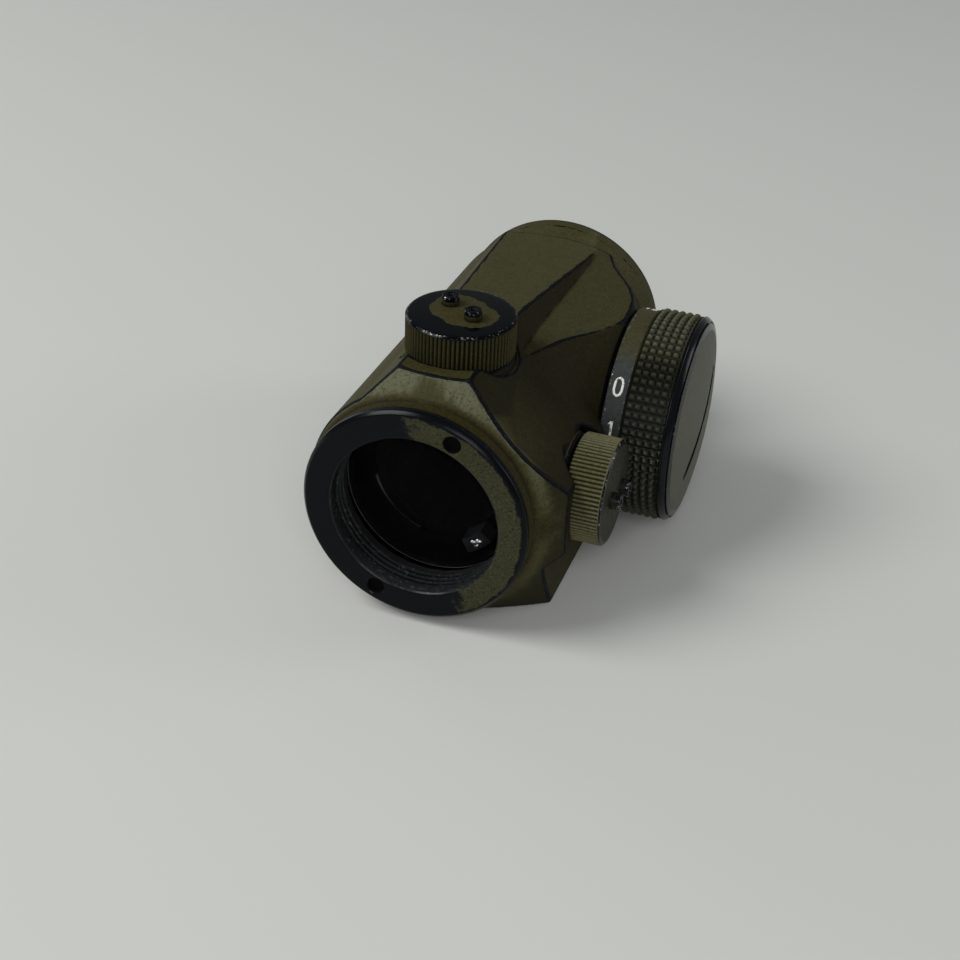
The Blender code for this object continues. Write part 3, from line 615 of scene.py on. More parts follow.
def neck_outline():
    """Outline that trims both ends: collar, cones, neck and front hood."""
    beyond = 26.0
    points = [(0, -29.7), (COLLAR_R, -29.7), (COLLAR_R, -28.6), (COLLAR_R + 0.12, -27.83),
              (beyond, beyond + REAR_CONE), (beyond, FRONT_CONE - beyond),
              (15.0, FRONT_CONE - 15.0)]
    for k in range(7):
        t = k / 6
        dip = 0.2 * math.sin(math.pi * min(1, t * 1.2))
        points.append((14.5 - dip + 0.35 * t ** 2, 24.75 + 2.85 * t))
    return points + [(15.1, 28.3), (15.1, 30.6), (14.75, BODY_FRONT), (0, BODY_FRONT)]


def turret_pocket(step):
    floor = POCKET_FLOOR + step
    return turned([(0, floor), (POCKET_R, floor), (POCKET_R, OUTSIDE), (0, OUTSIDE)], 96)


def turret_blank(step):
    """Flange and stub that a turret cap screws onto."""
    base, stub = FLANGE_TOP + step, STUB_TOP + step
    return turned([(0, 12.0), (FLANGE_R, 12.0), (FLANGE_R, base), (STUB_R, base),
                   (STUB_R, stub - 0.3), (STUB_R - 0.3, stub), (0, stub)], 96)


def turret_bore(step):
    """Hole for the plunger, wider outside for the adjuster."""
    return turned([(0, 9.6), (2.4, 9.6), (2.4, 14.3 + step), (4.55, 14.3 + step),
                   (4.55, 19.6 + step), (0, 19.6 + step)], 64)


def at_turrets(shape):
    """The same shape at the elevation and the windage turret."""
    return (placed(shape(0.0), "Z", TURRET_AT), placed(shape(TURRET_STEP), "X", TURRET_AT))


def make_housing():
    body = finish_mesh(housing_loft(), "housing_body")
    boolean(body, "UNION", placed(cylinder(BOSS_R, 6.0, BOSS_X + 1.5, 160), "X", KNOB_AT),
            placed(cylinder(TUBE_R, -30.5, 31.5, 200), "Y", AXIS_AT))
    boolean(body, "INTERSECT", placed(turned(neck_outline(), 200), "Y", AXIS_AT))
    boolean(body, "DIFFERENCE", *at_turrets(turret_pocket),
            placed(cylinder(BOSS_CLEAR_R, BOSS_X, OUTSIDE, 160), "X", KNOB_AT))
    boolean(body, "UNION", *at_turrets(turret_blank),
            placed(cylinder(POST_R, 12.0, 19.55, 64), "X", KNOB_AT))
    pivot_holes = placed(cylinder(0.95, -12.4, 12.4, 24), "X", (0, 15.75, AXIS_Z))
    boolean(body, "DIFFERENCE", placed(turned(BORE, 200), "Y", AXIS_AT), pivot_holes,
            *at_turrets(turret_bore))

    board_recess = turned([(5.2, 14.6), (10.6, 14.6), (10.6, 17.0), (5.2, 17.0)], 96)
    clip_groove = turned([(3.6, 18.45), (5.5, 18.45), (5.5, 19.25), (3.6, 19.25)], 64)
    contact_hole = cylinder(2.2, 9.5, 20.5, 32)
    detent_hole = cylinder(0.95, 12.6, 17.5, 24)
    boolean(body, "DIFFERENCE",
            *[placed(bm, "X", KNOB_AT) for bm in (board_recess, clip_groove, contact_hole)],
            placed(detent_hole, "X", (0, KNOB_Y + 12.0, AXIS_Z)))

    recoil_slot = box(-20, 20, 5.6, 8.4, -1, 1.2)
    board_pocket = box(-8.0, 8.0, -13.0, -2.0, 3.3, 5.4)
    hole = [(0, -0.5), (1.45, -0.5), (1.25, 0.35), (1.25, 4.6), (0, 5.2)]
    holes = [placed(turned(hole, 32), "Z", (x, y, 0))
             for x in (-BASE_HOLE_X, BASE_HOLE_X) for y in (-BASE_HOLE_Y, BASE_HOLE_Y)]
    boolean(body, "DIFFERENCE", recoil_slot, board_pocket, *holes)
    soften(body)
    return body


def soften(obj):
    """Remesh finely, round every corner a little, mark the wear and thin the flat areas."""
    remesh = obj.modifiers.new("remesh", "REMESH")
    remesh.mode = "VOXEL"
    remesh.voxel_size = VOXEL * MM
    evaluated(obj)
    mesh = obj.data
    co, _, ends = point_arrays(mesh)
    co = spread(co, ends, SOFTEN_ROUNDS)
    mesh.vertices.foreach_set("co", np.ascontiguousarray(co).ravel())
    mesh.update()
    proud = proudness(mesh, 5, 0.025)
    slight = 0.3          # curvature of the tube itself, which is no edge
    store(mesh, "edge", np.clip((proud - slight) / (1 - slight), 0, 1))
    # hollow marks the creases that grime and painted shade darken
    store(mesh, "hollow", np.clip((-proud - slight) / (1 - slight), 0, 1))
    triangles = 2 * len(mesh.polygons)
    if triangles > MOST_TRIANGLES:
        thin = obj.modifiers.new("thin", "DECIMATE")
        thin.ratio = MOST_TRIANGLES / triangles
        evaluated(obj)
    obj.data.shade_smooth()


def paint_regions(obj):
    """Where the housing's paint is browner than its main olive, and where light and shade are
    painted on it as paler and darker paint.
    """
    co, normal, ends = point_arrays(obj.data)
    x, y, z = about(co, AXIS_AT)
    right, back, up = normal[:, 0], -normal[:, 1], normal[:, 2]
    collar_end, cone_end = -27.4, -14.5
    collar = (y < collar_end) & (np.hypot(x, z) < COLLAR_R + 0.7)
    cone = (y < cone_end) & (y > collar_end) & (back > 0.35)
    shoulder = (right > 0.35) & (x > 4) & (y > -26)
    top = (y > -25.5) & (y < -7) & (up > 0.9)
    front = y > 24

    brown_and_lit = np.zeros(len(x))
    brown_and_lit[front] = 0.25
    brown_and_lit[shoulder] = 0.85
    brown_and_lit[top] = 0.75
    # painted highlight: the rear cone's paint paler toward its top, where light falls
    brown_and_lit[cone] = -0.8 * np.clip((z[cone] - 1.0) / 9.0, 0, 1)
    brown_and_lit[cone & shoulder] = 0.1
    # painted highlight: the hood's right-facing side paler
    brown_and_lit[front] -= np.clip((right[front] - 0.1) / 0.5, 0, 0.9)
    brown_and_lit[collar] = 1.0
    store(obj.data, "brown_and_lit", spread(brown_and_lit, ends, 4))

    top_facet = (right > 0.12) & (up > 0.6) & (y > -12) & (y < 22)
    base_side = (z < -8) & (right > 0.8)
    # painted shade: darker paint on the shoulder, which faces away from the light, and on the top
    # facet and the collar
    dark = np.zeros(len(x))
    dark[top_facet] = 0.35
    dark[shoulder & (y < 20)] = 1.0
    dark[base_side] = 0.0
    dark[collar] = 0.35
    store(obj.data, "dark", spread(dark, ends, 4))


# ---- pieces ----------------------------------------------
BEZEL_FACE = -31.0
BEZEL_BACK = -29.95
THREADS = 3
THREAD_PITCH = 0.88
THREAD_CREST_R = 11.05
THREAD_ROOT_R = 11.4
SPANNER_R = 12.57                 # the spanner holes' distance from the axis
SPANNER_TURNS = (67.5, 247.5)     # and their turn from +X toward +Z


def spanner_places():
    for turn in SPANNER_TURNS:
        a = math.radians(turn)
        yield SPANNER_R * math.cos(a), SPANNER_R * math.sin(a)


def make_bezel():
    thread = []
    for k in range(THREADS):
        y = -26.6 - k * THREAD_PITCH
        thread += [(THREAD_CREST_R, y), (THREAD_ROOT_R, y - 0.2), (THREAD_ROOT_R, y - 0.45),
                   (THREAD_CREST_R, y - 0.65)]
    outside = [(11.22, BEZEL_FACE), (14.3, BEZEL_FACE), (14.75, BEZEL_FACE + 0.45),
               (14.75, BEZEL_BACK), (12.4, BEZEL_BACK), (12.4, -26.3), (THREAD_CREST_R, -26.3)]
    mouth = [(THREAD_CREST_R, -29.35), (10.95, -29.45), (10.95, -30.7)]
    sharp = tuple(range(len(outside) - 1, len(outside) + len(thread)))
    outline = rounded(outside + thread + mouth, 0.12, 3, sharp)
    ring = finish_mesh(placed(turned(dense(outline, 0.35), 240), "Y", AXIS_AT), "bezel_ring")
    holes = []
    for across, up in spanner_places():
        hole = [(0, -31.6), (1.3, -31.6), (1.3, BEZEL_FACE), (1.12, -30.85), (1.12, -30.05),
                (0, -30.05)]
        holes.append(placed(turned(hole, 40), "Y", (across, 0, AXIS_Z + up)))
    boolean(ring, "DIFFERENCE", *holes)
    smooth(ring.data, 35)

    mark_wear(ring)
    co, _, _ = point_arrays(ring.data)
    x, y, z = about(co, AXIS_AT)
    radius = np.hypot(x, z)
    threaded = (radius < 11.5) & (y > BEZEL_FACE + 0.05)
    crest = np.clip((11.3 - radius) / 0.25, 0, 1)
    set_where(ring.data, "edge", threaded, 0.66)
    # painted highlight: paler anodising on the thread crests
    store(ring.data, "scuff_and_highlight", np.where(threaded, crest * 0.26, 0.0))
    for across, up in spanner_places():
        set_where(ring.data, "edge", np.hypot(x - across, z - up) < 1.5, 0.2)
    return ring


RIBS = 76
RIB_DEPTH = 0.34
CAP_LOW = 15.95           # heights above the axis, before a turret's own step
CAP_TOP = 20.95
CAP_R = 6.95
PIN_OUT = 2.375           # the driver pins' distance from the cap's axis
PIN_HEAD = 1.5            # a pin's height over the rim
ELEVATION_PINS = -34.6    # where the caps come to rest, in degrees
WINDAGE_PINS = 81.2
# share of the second tone on the face, and painted shade on the wall
CAP_TONES = {"Z": (0.5, 0.4), "X": (1.0, 0.0)}


def rib_radius(ribs_end):
    """Ribs round the wall, run out just under the rim."""
    def radius(r, h, a):
        if r < CAP_R - 0.4:
            return r
        run_out = min(1.0, max(0.0, (ribs_end - h) / 0.12))
        return r - RIB_DEPTH * zigzag(a * RIBS / (2 * math.pi)) ** 1.4 * run_out
    return radius


def mark_cap(cap, axis, step, face_tone, wall_dark):
    """Wear sits on the rim and on the pin heads, grime and painted shade between the ribs."""
    mark_wear(cap, rounds=3)
    co, _, _ = point_arrays(cap.data)
    x, y, z = about(co, TURRET_AT)
    height, side = (z, x) if axis == "Z" else (x, z)
    radius = np.hypot(side, y)
    top = CAP_TOP + step
    wall = (radius > 6.4) & (height < top - 0.03)
    set_where(cap.data, "edge", wall, np.clip((height - top + 0.35) / 0.15, 0, 1) * 0.66)
    set_where(cap.data, "hollow", wall & (height < top - 0.3),
              np.clip((CAP_R - 0.02 - radius) / 0.24, 0, 1))
    set_where(cap.data, "brown_and_lit", height > top - 0.1, face_tone)
    # painted shade darkens the wall's paint
    store(cap.data, "dark", np.where(wall, wall_dark, 0.0))


def make_pin(head, degrees, side):
    """One hollow ended driver pin, standing on the cap's face."""
    a = math.radians(degrees)
    outline = [(0, head - 2.2), (1.1, head - 2.2), (1.1, head), (0.55, head),
               (0.42, head - 0.3), (0, head - 0.34)]
    pin = turned(rounded(outline, 0.16, 3), 40)
    at = (side * PIN_OUT * math.cos(a), side * PIN_OUT * math.sin(a), 0)
    bmesh.ops.translate(pin, vec=at, verts=pin.verts)
    return pin


def make_cap(name, axis, step, pin_turn):
    low, top = CAP_LOW + step, CAP_TOP + step
    wall = [(CAP_R, top - down) for down in (0.5, 0.42, 0.36, 0.3, 0.25)]
    rim = [(CAP_R - 0.06, top - 0.2), (6.72, top - 0.03), (6.55, top + 0.02),
           (6.25, top + 0.05), (4.6, top + 0.14), (2.6, top + 0.23), (0, top + 0.3)]
    outline = [(5.7, low + 0.8), (6.4, low + 0.8), (6.4, low), (CAP_R - 0.15, low),
               (CAP_R, low + 0.2)] + wall + rim + [(0, top - 1.4), (5.7, top - 1.4)]
    bm = turned(dense(outline, 0.45), RIBS * 6, rib_radius(top - 0.3))
    cap = finish_mesh(placed(bm, axis, TURRET_AT), name)
    pins = [placed(make_pin(top + PIN_HEAD, pin_turn, side), axis, TURRET_AT)
            for side in (-1, 1)]
    boolean(cap, "UNION", *pins)
    smooth(cap.data, 28)
    mark_cap(cap, axis, step, *CAP_TONES[axis])
    return cap


SKIRT_R = 13.85
SKIRT_LOW = 16.75
SKIRT_TOP = 19.2
SKIRT_END = 19.3          # past its chamfer
KNURL_ROWS = 76
KNURL_COLUMNS = 5.4
KNURL_FROM = 19.5
KNURL_TO = 25.05
KNURL_TIP = 14.35
KNURL_DEPTH = 0.66
KNOB_RIM = 25.1
KNOB_WALL_R = 13.6        # everything outside this is skirt, knurl or rim


def knob_outline():
    """From the inner rim over skirt and knurl to the outer rim and back inside."""
    skirt = [(12.9, 16.6), (13.7, 16.6), (SKIRT_R, SKIRT_LOW), (SKIRT_R, SKIRT_TOP),
             (SKIRT_R - 0.08, SKIRT_END)]
    cells = round(KNURL_COLUMNS * 8)
    knurl = [(KNURL_TIP, KNURL_FROM + (KNURL_TO - KNURL_FROM) * k / cells)
             for k in range(cells + 1)]
    rim = [(13.8, KNOB_RIM), (13.8, 25.3), (14.17, 25.34), (14.22, 25.42), (14.18, 25.52),
           (13.8, 26.04), (13.72, 26.1), (13.64, 26.06), (13.62, 25.85), (12.9, 25.85)]
    inside = [(12.9, 24.85), (11.9, 24.85), (11.9, 18.3), (4.5, 18.3), (4.5, 17.0), (12.9, 17.0)]
    return skirt + knurl + rim + inside


def knurl_radius(r, h, a):
    """Flat topped pyramids between grooves round and along the knob."""
    if r < KNURL_TIP - 0.01:
        return r
    around = zigzag(a * KNURL_ROWS / (2 * math.pi))
    along = (h - KNURL_FROM) / (KNURL_TO - KNURL_FROM) * KNURL_COLUMNS
    across = zigzag(along) if along < KNURL_COLUMNS else 1.0
    deep = max(around, 0.72 * across) + 0.15 * across * (1 - around)
    return r - KNURL_DEPTH * min(1.0, max(0.0, deep - 0.1) / 0.8)


def make_knob():
    bm = turned(dense(knob_outline(), 0.4), KNURL_ROWS * 6, knurl_radius)
    knob = finish_mesh(placed(bm, "X", KNOB_AT), "knob_body", 25)
    mark_wear(knob)
    co, _, _ = point_arrays(knob.data)
    height, y, z = about(co, KNOB_AT)
    radius = np.hypot(y, z)
    knurl = (height > KNURL_FROM) & (height < KNURL_TO) & (radius > KNOB_WALL_R)
    skirt = (height < SKIRT_END) & (radius > KNOB_WALL_R)
    deep = (KNURL_TIP - radius) / KNURL_DEPTH
    turn = np.degrees(np.arctan2(z, y)) % 360
    rubbed = np.exp(-((turn - 152) / 15) ** 2)      # where the thumb turns it
    tips = np.clip(0.4 - deep * 3, 0, 1) + rubbed * np.clip(1.1 - deep * 5, 0, 1)
    set_where(knob.data, "edge", knurl, tips)
    set_where(knob.data, "edge", height > KNOB_RIM, 0.2)
    # grime and painted shade in the knurl's valleys; a painted highlight, the paler lit tone, on
    # its tips
    set_where(knob.data, "hollow", knurl, np.clip(deep * 2.3 - 0.8, 0, 1))
    set_where(knob.data, "brown_and_lit", knurl, np.clip(deep * 1.9 - 1.0, -1.0, 0))
    # paler anodising all round the skirt and, as wear, where the thumb rubs the knurl; the
    # skirt's paint is also darker
    store(knob.data, "scuff_and_highlight", np.where(skirt, 0.6, np.where(knurl, 0.3 * rubbed, 0.0)))
    store(knob.data, "dark", np.where(skirt, 0.3, 0.0))
    return knob


DOME_R = 62.6
DOME_APEX = 27.75
DOME_EDGE_R = 13.4
SLOT_TURN = 41.3          # degrees between the coin slot's face and +Z
SLOT_HALF_LENGTH = 8.6
SLOT_DEPTH = 1.35
SLOT_HALF_WIDTH = 0.7


def sagitta(radius, half_chord):
    return radius - math.sqrt(radius ** 2 - half_chord ** 2)


def make_battery_cap():
    steps = [DOME_EDGE_R * k / 24 for k in range(25)]
    dome = [(r, DOME_APEX - sagitta(DOME_R, r)) for r in steps]
    edge = dome[-1][1]
    skirt = [(0, 25.4), (10.4, 25.4), (10.4, 23.6), (11.5, 23.6), (11.5, 26.0)]
    rim = [(DOME_EDGE_R, 26.0), (DOME_EDGE_R + 0.03, edge - 0.1),
           (DOME_EDGE_R - 0.01, edge - 0.02)]
    outline = skirt + rim + list(reversed(dome[:-1]))
    cap = finish_mesh(placed(turned(outline, 240), "X", KNOB_AT), "battery_door")

    # the slot is cut by a wheel whose rim meets the dome at both ends of the slot
    rise = SLOT_DEPTH - sagitta(DOME_R, SLOT_HALF_LENGTH)
    wheel = (SLOT_HALF_LENGTH ** 2 + rise ** 2) / (2 * rise)
    disc = cylinder(wheel, -SLOT_HALF_WIDTH, SLOT_HALF_WIDTH, 360)
    a = math.radians(SLOT_TURN)
    normal = Vector((0, -math.sin(a), math.cos(a)))
    turn = Vector((0, 0, 1)).rotation_difference(normal).to_matrix().to_4x4()
    centre = Vector((DOME_APEX - SLOT_DEPTH + wheel, KNOB_Y, AXIS_Z))
    bmesh.ops.transform(disc, matrix=Matrix.Translation(centre) @ turn, verts=disc.verts)
    boolean(cap, "DIFFERENCE", disc)
    smooth(cap.data, 28)
    mark_wear(cap, 3, 0.012)
    return cap


# ---- dial numbers ----------------------------------------
LAST_NUMBER = 12
DIGIT_STEP = 24.0         # degrees between two numbers
DIGIT_START = 140.5       # the zero, from +Y toward +Z
DIGIT_TALL = 2.45
DIGIT_WIDE = 1.05
STROKE_HALF = 0.175
STROKE_PROUD = 0.025
STROKE_SUNK = -0.03       # a stroke's edges lie under the skirt's surface
PAIR_SIZE = 0.72          # two digits are smaller than one,
PAIR_STROKE = 0.85        # and their strokes thinner
STROKES = {
    "0": [(0.5, 1), (0.15, 0.9), (0, 0.7), (0, 0.3), (0.15, 0.1), (0.5, 0), (0.85, 0.1),
          (1, 0.3), (1, 0.7), (0.85, 0.9), (0.5, 1)],
    "1": [(0.25, 0.78), (0.6, 1), (0.6, 0)],
    "2": [(0, 0.75), (0.1, 0.93), (0.5, 1), (0.9, 0.93), (1, 0.72), (0.85, 0.5), (0, 0), (1, 0)],
    "3": [(0, 0.9), (0.5, 1), (0.95, 0.85), (0.9, 0.6), (0.4, 0.52), (0.95, 0.42), (1, 0.15),
          (0.5, 0), (0, 0.1)],
    "4": [(0.75, 0), (0.75, 1), (0, 0.3), (1, 0.3)],
    "5": [(0.95, 1), (0.1, 1), (0.05, 0.58), (0.6, 0.62), (1, 0.35), (0.8, 0.06), (0.4, 0),
          (0, 0.1)],
    "6": [(0.85, 0.97), (0.3, 0.8), (0, 0.35), (0.2, 0.03), (0.75, 0.03), (1, 0.3),
          (0.75, 0.55), (0.2, 0.5)],
    "7": [(0, 1), (1, 1), (0.4, 0)],
    "8": [(0.5, 0.53), (0.1, 0.75), (0.5, 1), (0.9, 0.75), (0.5, 0.53), (0, 0.25), (0.5, 0),
          (1, 0.25), (0.5, 0.53)],
    "9": [(0.8, 0.5), (0.25, 0.45), (0, 0.7), (0.25, 0.97), (0.8, 0.97), (1, 0.65),
          (0.7, 0.2), (0.15, 0.03)],
}


def make_numbers():
    """White paint strokes wrapped round the skirt, each a shallow raised ribbon."""
    bm = bmesh.new()
    for value in range(LAST_NUMBER + 1):
        label = str(value)
        turn = DIGIT_START + value * DIGIT_STEP
        pair = len(label) > 1
        size = PAIR_SIZE if pair else 1.0
        half = STROKE_HALF * (PAIR_STROKE if pair else 1)
        for place, digit in enumerate(label):
            shift = (place - (len(label) - 1) / 2) * DIGIT_WIDE * 1.5 * size
            stroke = STROKES[digit]
            points = [(x0 + (x1 - x0) * k / 4, y0 + (y1 - y0) * k / 4)
                      for (x0, y0), (x1, y1) in zip(stroke, stroke[1:]) for k in range(4)]
            flat = [(shift + (x - 0.5) * DIGIT_WIDE * size, (0.5 - y) * DIGIT_TALL * size)
                    for x, y in points + [stroke[-1]]]
            ribbon(bm, flat, half, turn)
    return finish_mesh(bm, "dial_numbers", 60)


def on_skirt(u, v, lift, turn):
    """A point u along the knob's axis and v round the skirt from a number's middle."""
    a = math.radians(turn) + v / SKIRT_R
    r = SKIRT_R + lift
    middle = (SKIRT_LOW + SKIRT_TOP) / 2
    return (middle + u, KNOB_Y + r * math.cos(a), AXIS_Z + r * math.sin(a))


def ribbon(bm, points, half, turn):
    closed = (Vector(points[0]) - Vector(points[-1])).length < 1e-4
    if closed:
        points = points[:-1]
    count = len(points)
    loops = []
    for i, point in enumerate(points):
        before = Vector(points[(i - 1) % count] if closed or i > 0 else point)
        after = Vector(points[(i + 1) % count] if closed or i < count - 1 else point)
        along = (after - before).normalized()
        side = Vector((-along.y, along.x)) * half
        p = Vector(point)
        corners = ((p - side, STROKE_SUNK), (p - side * 0.8, STROKE_PROUD),
                   (p + side * 0.8, STROKE_PROUD), (p + side, STROKE_SUNK))
        loops.append([bm.verts.new(on_skirt(q.x, q.y, lift, turn)) for q, lift in corners])
    pairs = list(zip(loops, loops[1:])) + ([(loops[-1], loops[0])] if closed else [])
    for a, b in pairs:
        for k in range(4):
            j = (k + 1) % 4
            bm.faces.new((a[k], a[j], b[j], b[k]))
    if not closed:
        bm.faces.new(loops[0])
        bm.faces.new(list(reversed(loops[-1])))


SOLDER_Y = -22.55
SOLDER_BLOBS = ((0.4, 0.3, 0.5), (-0.3, 0.0, 0.46), (0.12, -0.4, 0.36))   # x, z, radius


def make_solder():
    """Three blobs of solder on the back of the emitter block."""
    low, high = box_mm("led_emitter")
    bm = bmesh.new()
    centre = (low + high) / 2
    for dx, dz, radius in SOLDER_BLOBS:
        made = bmesh.ops.create_icosphere(bm, subdivisions=3, radius=radius)["verts"]
        bmesh.ops.scale(bm, vec=(1.2, 0.7, 0.9), verts=made)
        bmesh.ops.translate(bm, vec=(centre.x + dx, SOLDER_Y, centre.z + dz), verts=made)
    return finish_mesh(bm, "emitter_solder")


# ---- materials by piece ----------------------------------
def bore(n):
    """Everything inside the tube is dull black anodising."""
    x, _, z = n.local(AXIS_AT)
    return n.step(n.length(x, z), 13.6, 13.4)


def bezel_black(n, fine):
    """Paint is gone from the left half, the outer chamfer and the threads."""
    x, y, z = n.local(AXIS_AT)
    radius = n.length(x, z)
    side = n.minus(n.toward(x, z, 16.5), 3.4)
    rag = n.swing(n.noise(2.6, 5, 0.75), 9.0)
    left = n.step(n.plus(side, rag), 0.9, -0.9)
    rough_edge = n.swing(fine, 0.9)
    outer = n.step(n.plus(radius, n.times(rough_edge, 1.6)), 13.95, 14.15)
    inner = n.step(n.plus(radius, rough_edge), 10.95, 10.8)
    behind_face = n.step(y, BEZEL_FACE + 0.3, BEZEL_FACE + 0.5)
    threads = n.times(behind_face, n.step(radius, 14.5, 14.3))
    return n.most(n.most(left, outer), n.most(inner, threads))


def bezel_holes(n):
    """The two drilled holes are dark inside: their unpainted walls are dull black, standing in
    for the shade in the holes.
    """
    x, y, z = n.local(AXIS_AT)
    dark = 0.0
    for across, up in spanner_places():
        reach = n.length(n.minus(x, across), n.minus(z, up))
        dark = n.most(n.step(reach, 1.2, 1.14), dark)
    return n.times(dark, n.step(y, BEZEL_FACE + 0.05, BEZEL_FACE + 0.15))


def elevation_black(n, fine):
    """Worn rim round a blotch of paint that the two pins kept."""
    x, y, z = n.local((0.2, TURRET_Y + 0.2, AXIS_Z))
    along = n.toward(x, y, ELEVATION_PINS)
    across = n.toward(x, y, ELEVATION_PINS + 90)
    over = n.most(n.minus(n.maths("ABSOLUTE", along), 1.2), 0.0)
    rag = n.swing(n.noise(2.2, 2, 0.5), 1.7)
    ring = n.step(n.plus(n.length(over, across), rag), 3.4, 3.5)
    face = n.step(z, CAP_TOP - 0.45, CAP_TOP - 0.2)
    heads = n.step(z, CAP_TOP + 0.75, CAP_TOP + 0.95)
    return n.most(heads, n.times(ring, face))


def windage_rim(n, fine):
    """The pins' heads and the rim of the face are worn down to the anodising."""
    x, y, z = n.local(TURRET_AT)
    ragged = n.plus(n.length(y, z), n.swing(fine, 1.6))
    rim = n.times(n.step(ragged, 6.15, 6.4), n.step(x, 21.15, 21.25))
    heads = n.step(x, 22.55, 22.7)
    return n.most(n.times(rim, 0.8), heads)


def knob_black(n, fine):
    """Skirt and knurl lose their paint on the side that fingers turn, and low down."""
    x, y, z = n.local(KNOB_AT)
    rag = n.swing(n.noise(3.0, 5, 0.7), 5.0)
    turned_side = n.step(n.plus(n.toward(y, z, 160), rag), 9.6, 12.2)
    low = n.step(n.plus(n.weigh(z, -0.95, y, -0.3), rag), 3.5, 9.0)
    handled = n.most(turned_side, low)
    knurl = n.step(x, SKIRT_TOP, KNURL_FROM)
    rim = n.step(x, KNURL_TO, KNURL_TO + 0.1)
    return n.most(n.times(handled, n.blend(knurl, 0.9, 0.6)), rim)


def painted_looks():
    """Worn paint for each of the pieces modelled here."""
    olive = (OLIVE, OLIVE_BROWN)
    return {
        "housing": worn_paint("housing_paint", olive, speckle=0.6, wear=0.95, glints=0.03,
                              inside=bore, rough=0.65, specular=0.1, gloss=0.45),
        "bezel": worn_paint("bezel_paint", (OLIVE_LIGHT, OLIVE_BROWN), speckle=1.5, wear=0.9,
                            glints=0.4, black=bezel_black, inside=bezel_holes, specular=0.12),
        "elevation": worn_paint("elevation_cap_paint", olive, speckle=0.7, wear=0.55,
                                glints=0.65, black=elevation_black, specular=0.08, gloss=0.1),
        "windage": worn_paint("windage_cap_paint", (TAN, CAP_GREY), speckle=0.7, wear=0.9,
                              glints=0.9, black=windage_rim),
        "knob": worn_paint("knob_paint_worn", olive, speckle=0.7, wear=0.5, glints=0.9,
                           black=knob_black, lit_tone=KNURL_LIT_PALE),
        "door": worn_paint("battery_door_paint", (GREY_OLIVE, GREY_OLIVE), speckle=0.35,
                           wear=0.9, glints=0.12),
    }


def number_paint():
    n = Nodes("number_white")
    chips = n.step(n.noise(0.5, 4, 0.7), 0.36, 0.44)
    return n.finish(n.mix(chips, NUMBER_WORN, NUMBER_WHITE), 0.6)


def rim_radius(node):
    low, high = box_mm(node)
    return (high.x - low.x) / 2


def dress_nodes():
    """Materials for the CAD nodes that stay."""
    black = plain_look("matte_black_anodising", linear(4, 4, 5), 0.95, grain=0.0, specular=0.03)
    inner = plain_look("dull_black_cell", linear(10, 10, 11), 0.55, grain=0.002)
    steel = plain_look("spring_steel_bare", linear(170, 170, 166), 0.3, metal=1.0)
    brass = plain_look("machined_brass", linear(196, 160, 92), 0.3, metal=1.0)
    cell = plain_look("nickel_cell", linear(190, 188, 184), 0.28, metal=1.0)
    rubber = plain_look("seal_rubber_black", linear(22, 22, 22), 0.7, size=0.2, grain=0.01)
    plastic = plain_look("moulded_black_plastic", linear(26, 26, 27), 0.5, size=0.25,
                         grain=0.006)
    board = plain_look("board_green", linear(30, 84, 52), 0.45, size=0.4, grain=0.01)
    red = plain_look("emitter_red", linear(170, 20, 24), 0.2)
    rear = coated_glass("coated_glass_rear", GLASS_CLEAR, rim_radius("rear_window"))
    front = coated_glass("coated_glass_front", GLASS_CLEAR, rim_radius("front_window"))
    violet = coated_glass("coated_glass_violet", GLASS_VIOLET, rim_radius("objective_lens"))
    looks = {
        black: ("optic_tube",),
        inner: ("front_window_ring",),
        steel: ("tube_spring", "elevation_lock_ring", "windage_lock_ring", "knob_clip",
                "detent_ball", "detent_spring", "elevation_plunger", "windage_plunger"),
        brass: ("pivot_ring", "elevation_adjuster", "windage_adjuster", "switch_wiper",
                "contact_pin", "cell_spring"),
        cell: ("coin_cell",),
        rubber: ("rear_bezel_seal", "rear_window_seal", "front_window_seal",
                 "elevation_cap_seal", "windage_cap_seal", "battery_cap_seal"),
        plastic: ("led_holder", "contact_sleeve", "cell_insulator"),
        board: ("control_board", "switch_board"),
        rear: ("rear_window",),
        front: ("front_window",),
        violet: ("objective_lens",),
        red: ("led_emitter",),
    }
    for mat, names in looks.items():
        for name in names:
            assign(frame["nodes"][name], mat)


# ---- floor, lights and camera (metres) -------------------
FLOOR_SIZE = 3.0
FLOOR_Z = -0.0002         # just under the base
LIT_POINT = Vector((0, 0, 0.015))


def area_light(name, place, size, power):
    """A soft round light aimed at the sight."""
    light = bpy.data.lights.new(name, "AREA")
    light.shape = "DISK"
    light.size = size
    light.energy = power
    obj = bpy.data.objects.new(name, light)
    bpy.context.scene.collection.objects.link(obj)
    obj.location = place
    aim = LIT_POINT - Vector(place)
    obj.rotation_euler = aim.to_track_quat("-Z", "Y").to_euler()


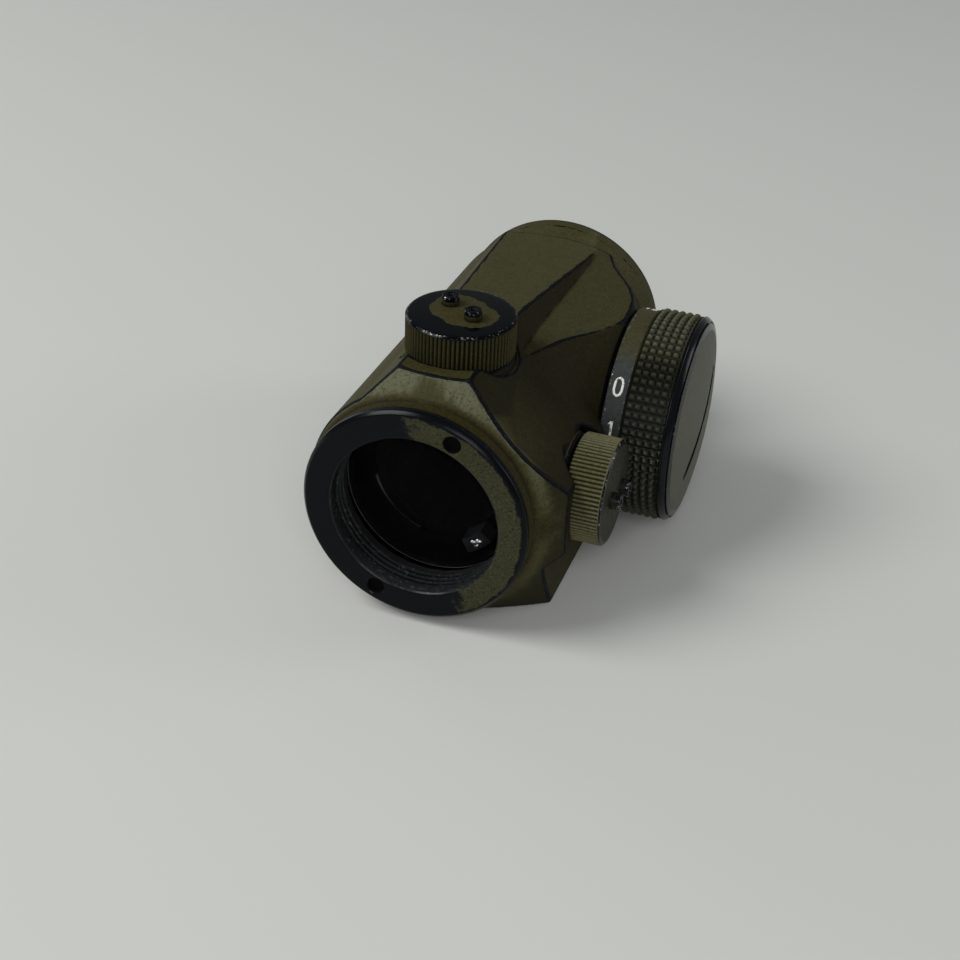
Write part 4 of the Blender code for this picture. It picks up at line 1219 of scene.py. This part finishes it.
def make_stage():
    bpy.ops.mesh.primitive_plane_add(size=FLOOR_SIZE, location=(0, 0, FLOOR_Z))
    floor = bpy.context.object
    floor.name = "floor"
    assign(floor, Nodes("floor_pale").finish(FLOOR_PALE, 0.85))

    bpy.context.scene.view_settings.view_transform = "Standard"
    world = bpy.data.worlds.new("studio")
    bpy.context.scene.world = world
    world.use_nodes = True
    back = world.node_tree.nodes["Background"]
    back.inputs["Color"].default_value = (0.93, 0.97, 1.0, 1)
    back.inputs["Strength"].default_value = 0.2

    area_light("key", (-0.5, -0.3, 0.65), 0.5, 4.8)
    area_light("front", (0.25, -0.7, 0.5), 0.5, 2.6)
    area_light("right", (0.7, 0.35, 0.3), 0.4, 1.1)
    area_light("left_back", (-0.75, 0.4, 0.3), 0.4, 0.7)


def make_camera():
    """The photograph's viewpoint: behind, right of and above the sight."""
    camera = bpy.data.cameras.new("camera")
    camera.sensor_width = 36.0
    camera.lens = 59.4
    camera.clip_start = 0.005
    obj = bpy.data.objects.new("camera", camera)
    bpy.context.scene.collection.objects.link(obj)
    right = Vector((0.9404, 0.3374, 0.0399))
    up = Vector((-0.2131, 0.4941, 0.8429))
    forward = Vector((-0.2647, 0.8012, -0.5366))
    turn = Matrix((right, up, -forward)).transposed().to_4x4()
    turn.translation = Vector((0.05809, -0.18104, 0.12386))
    obj.matrix_world = turn
    bpy.context.scene.camera = obj


def main():
    looks = painted_looks()

    body = make_housing()
    paint_regions(body)
    assign(body, looks["housing"])
    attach(body, "frame")
    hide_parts("housing")

    ring = make_bezel()
    assign(ring, looks["bezel"])
    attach(ring, "frame")
    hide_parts("rear_bezel_ring")

    for name, axis, step, pin_turn in (("elevation", "Z", 0.0, ELEVATION_PINS),
                                       ("windage", "X", TURRET_STEP, WINDAGE_PINS)):
        cap = make_cap(name + "_ribbed_cap", axis, step, pin_turn)
        assign(cap, looks[name])
        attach(cap, name + "_cap")
        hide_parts(name + "_cap")

    knob = make_knob()
    assign(knob, looks["knob"])
    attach(knob, "knob")
    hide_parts("brightness_knob")

    numbers = make_numbers()
    assign(numbers, number_paint())
    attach(numbers, "knob")

    door = make_battery_cap()
    assign(door, looks["door"])
    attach(door, "battery_cap")
    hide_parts("battery_cap")

    solder = make_solder()
    assign(solder, plain_look("solder", linear(200, 200, 198), 0.25, metal=1.0))
    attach(solder, "inner_tube")

    dress_nodes()
    make_stage()
    make_camera()


main()
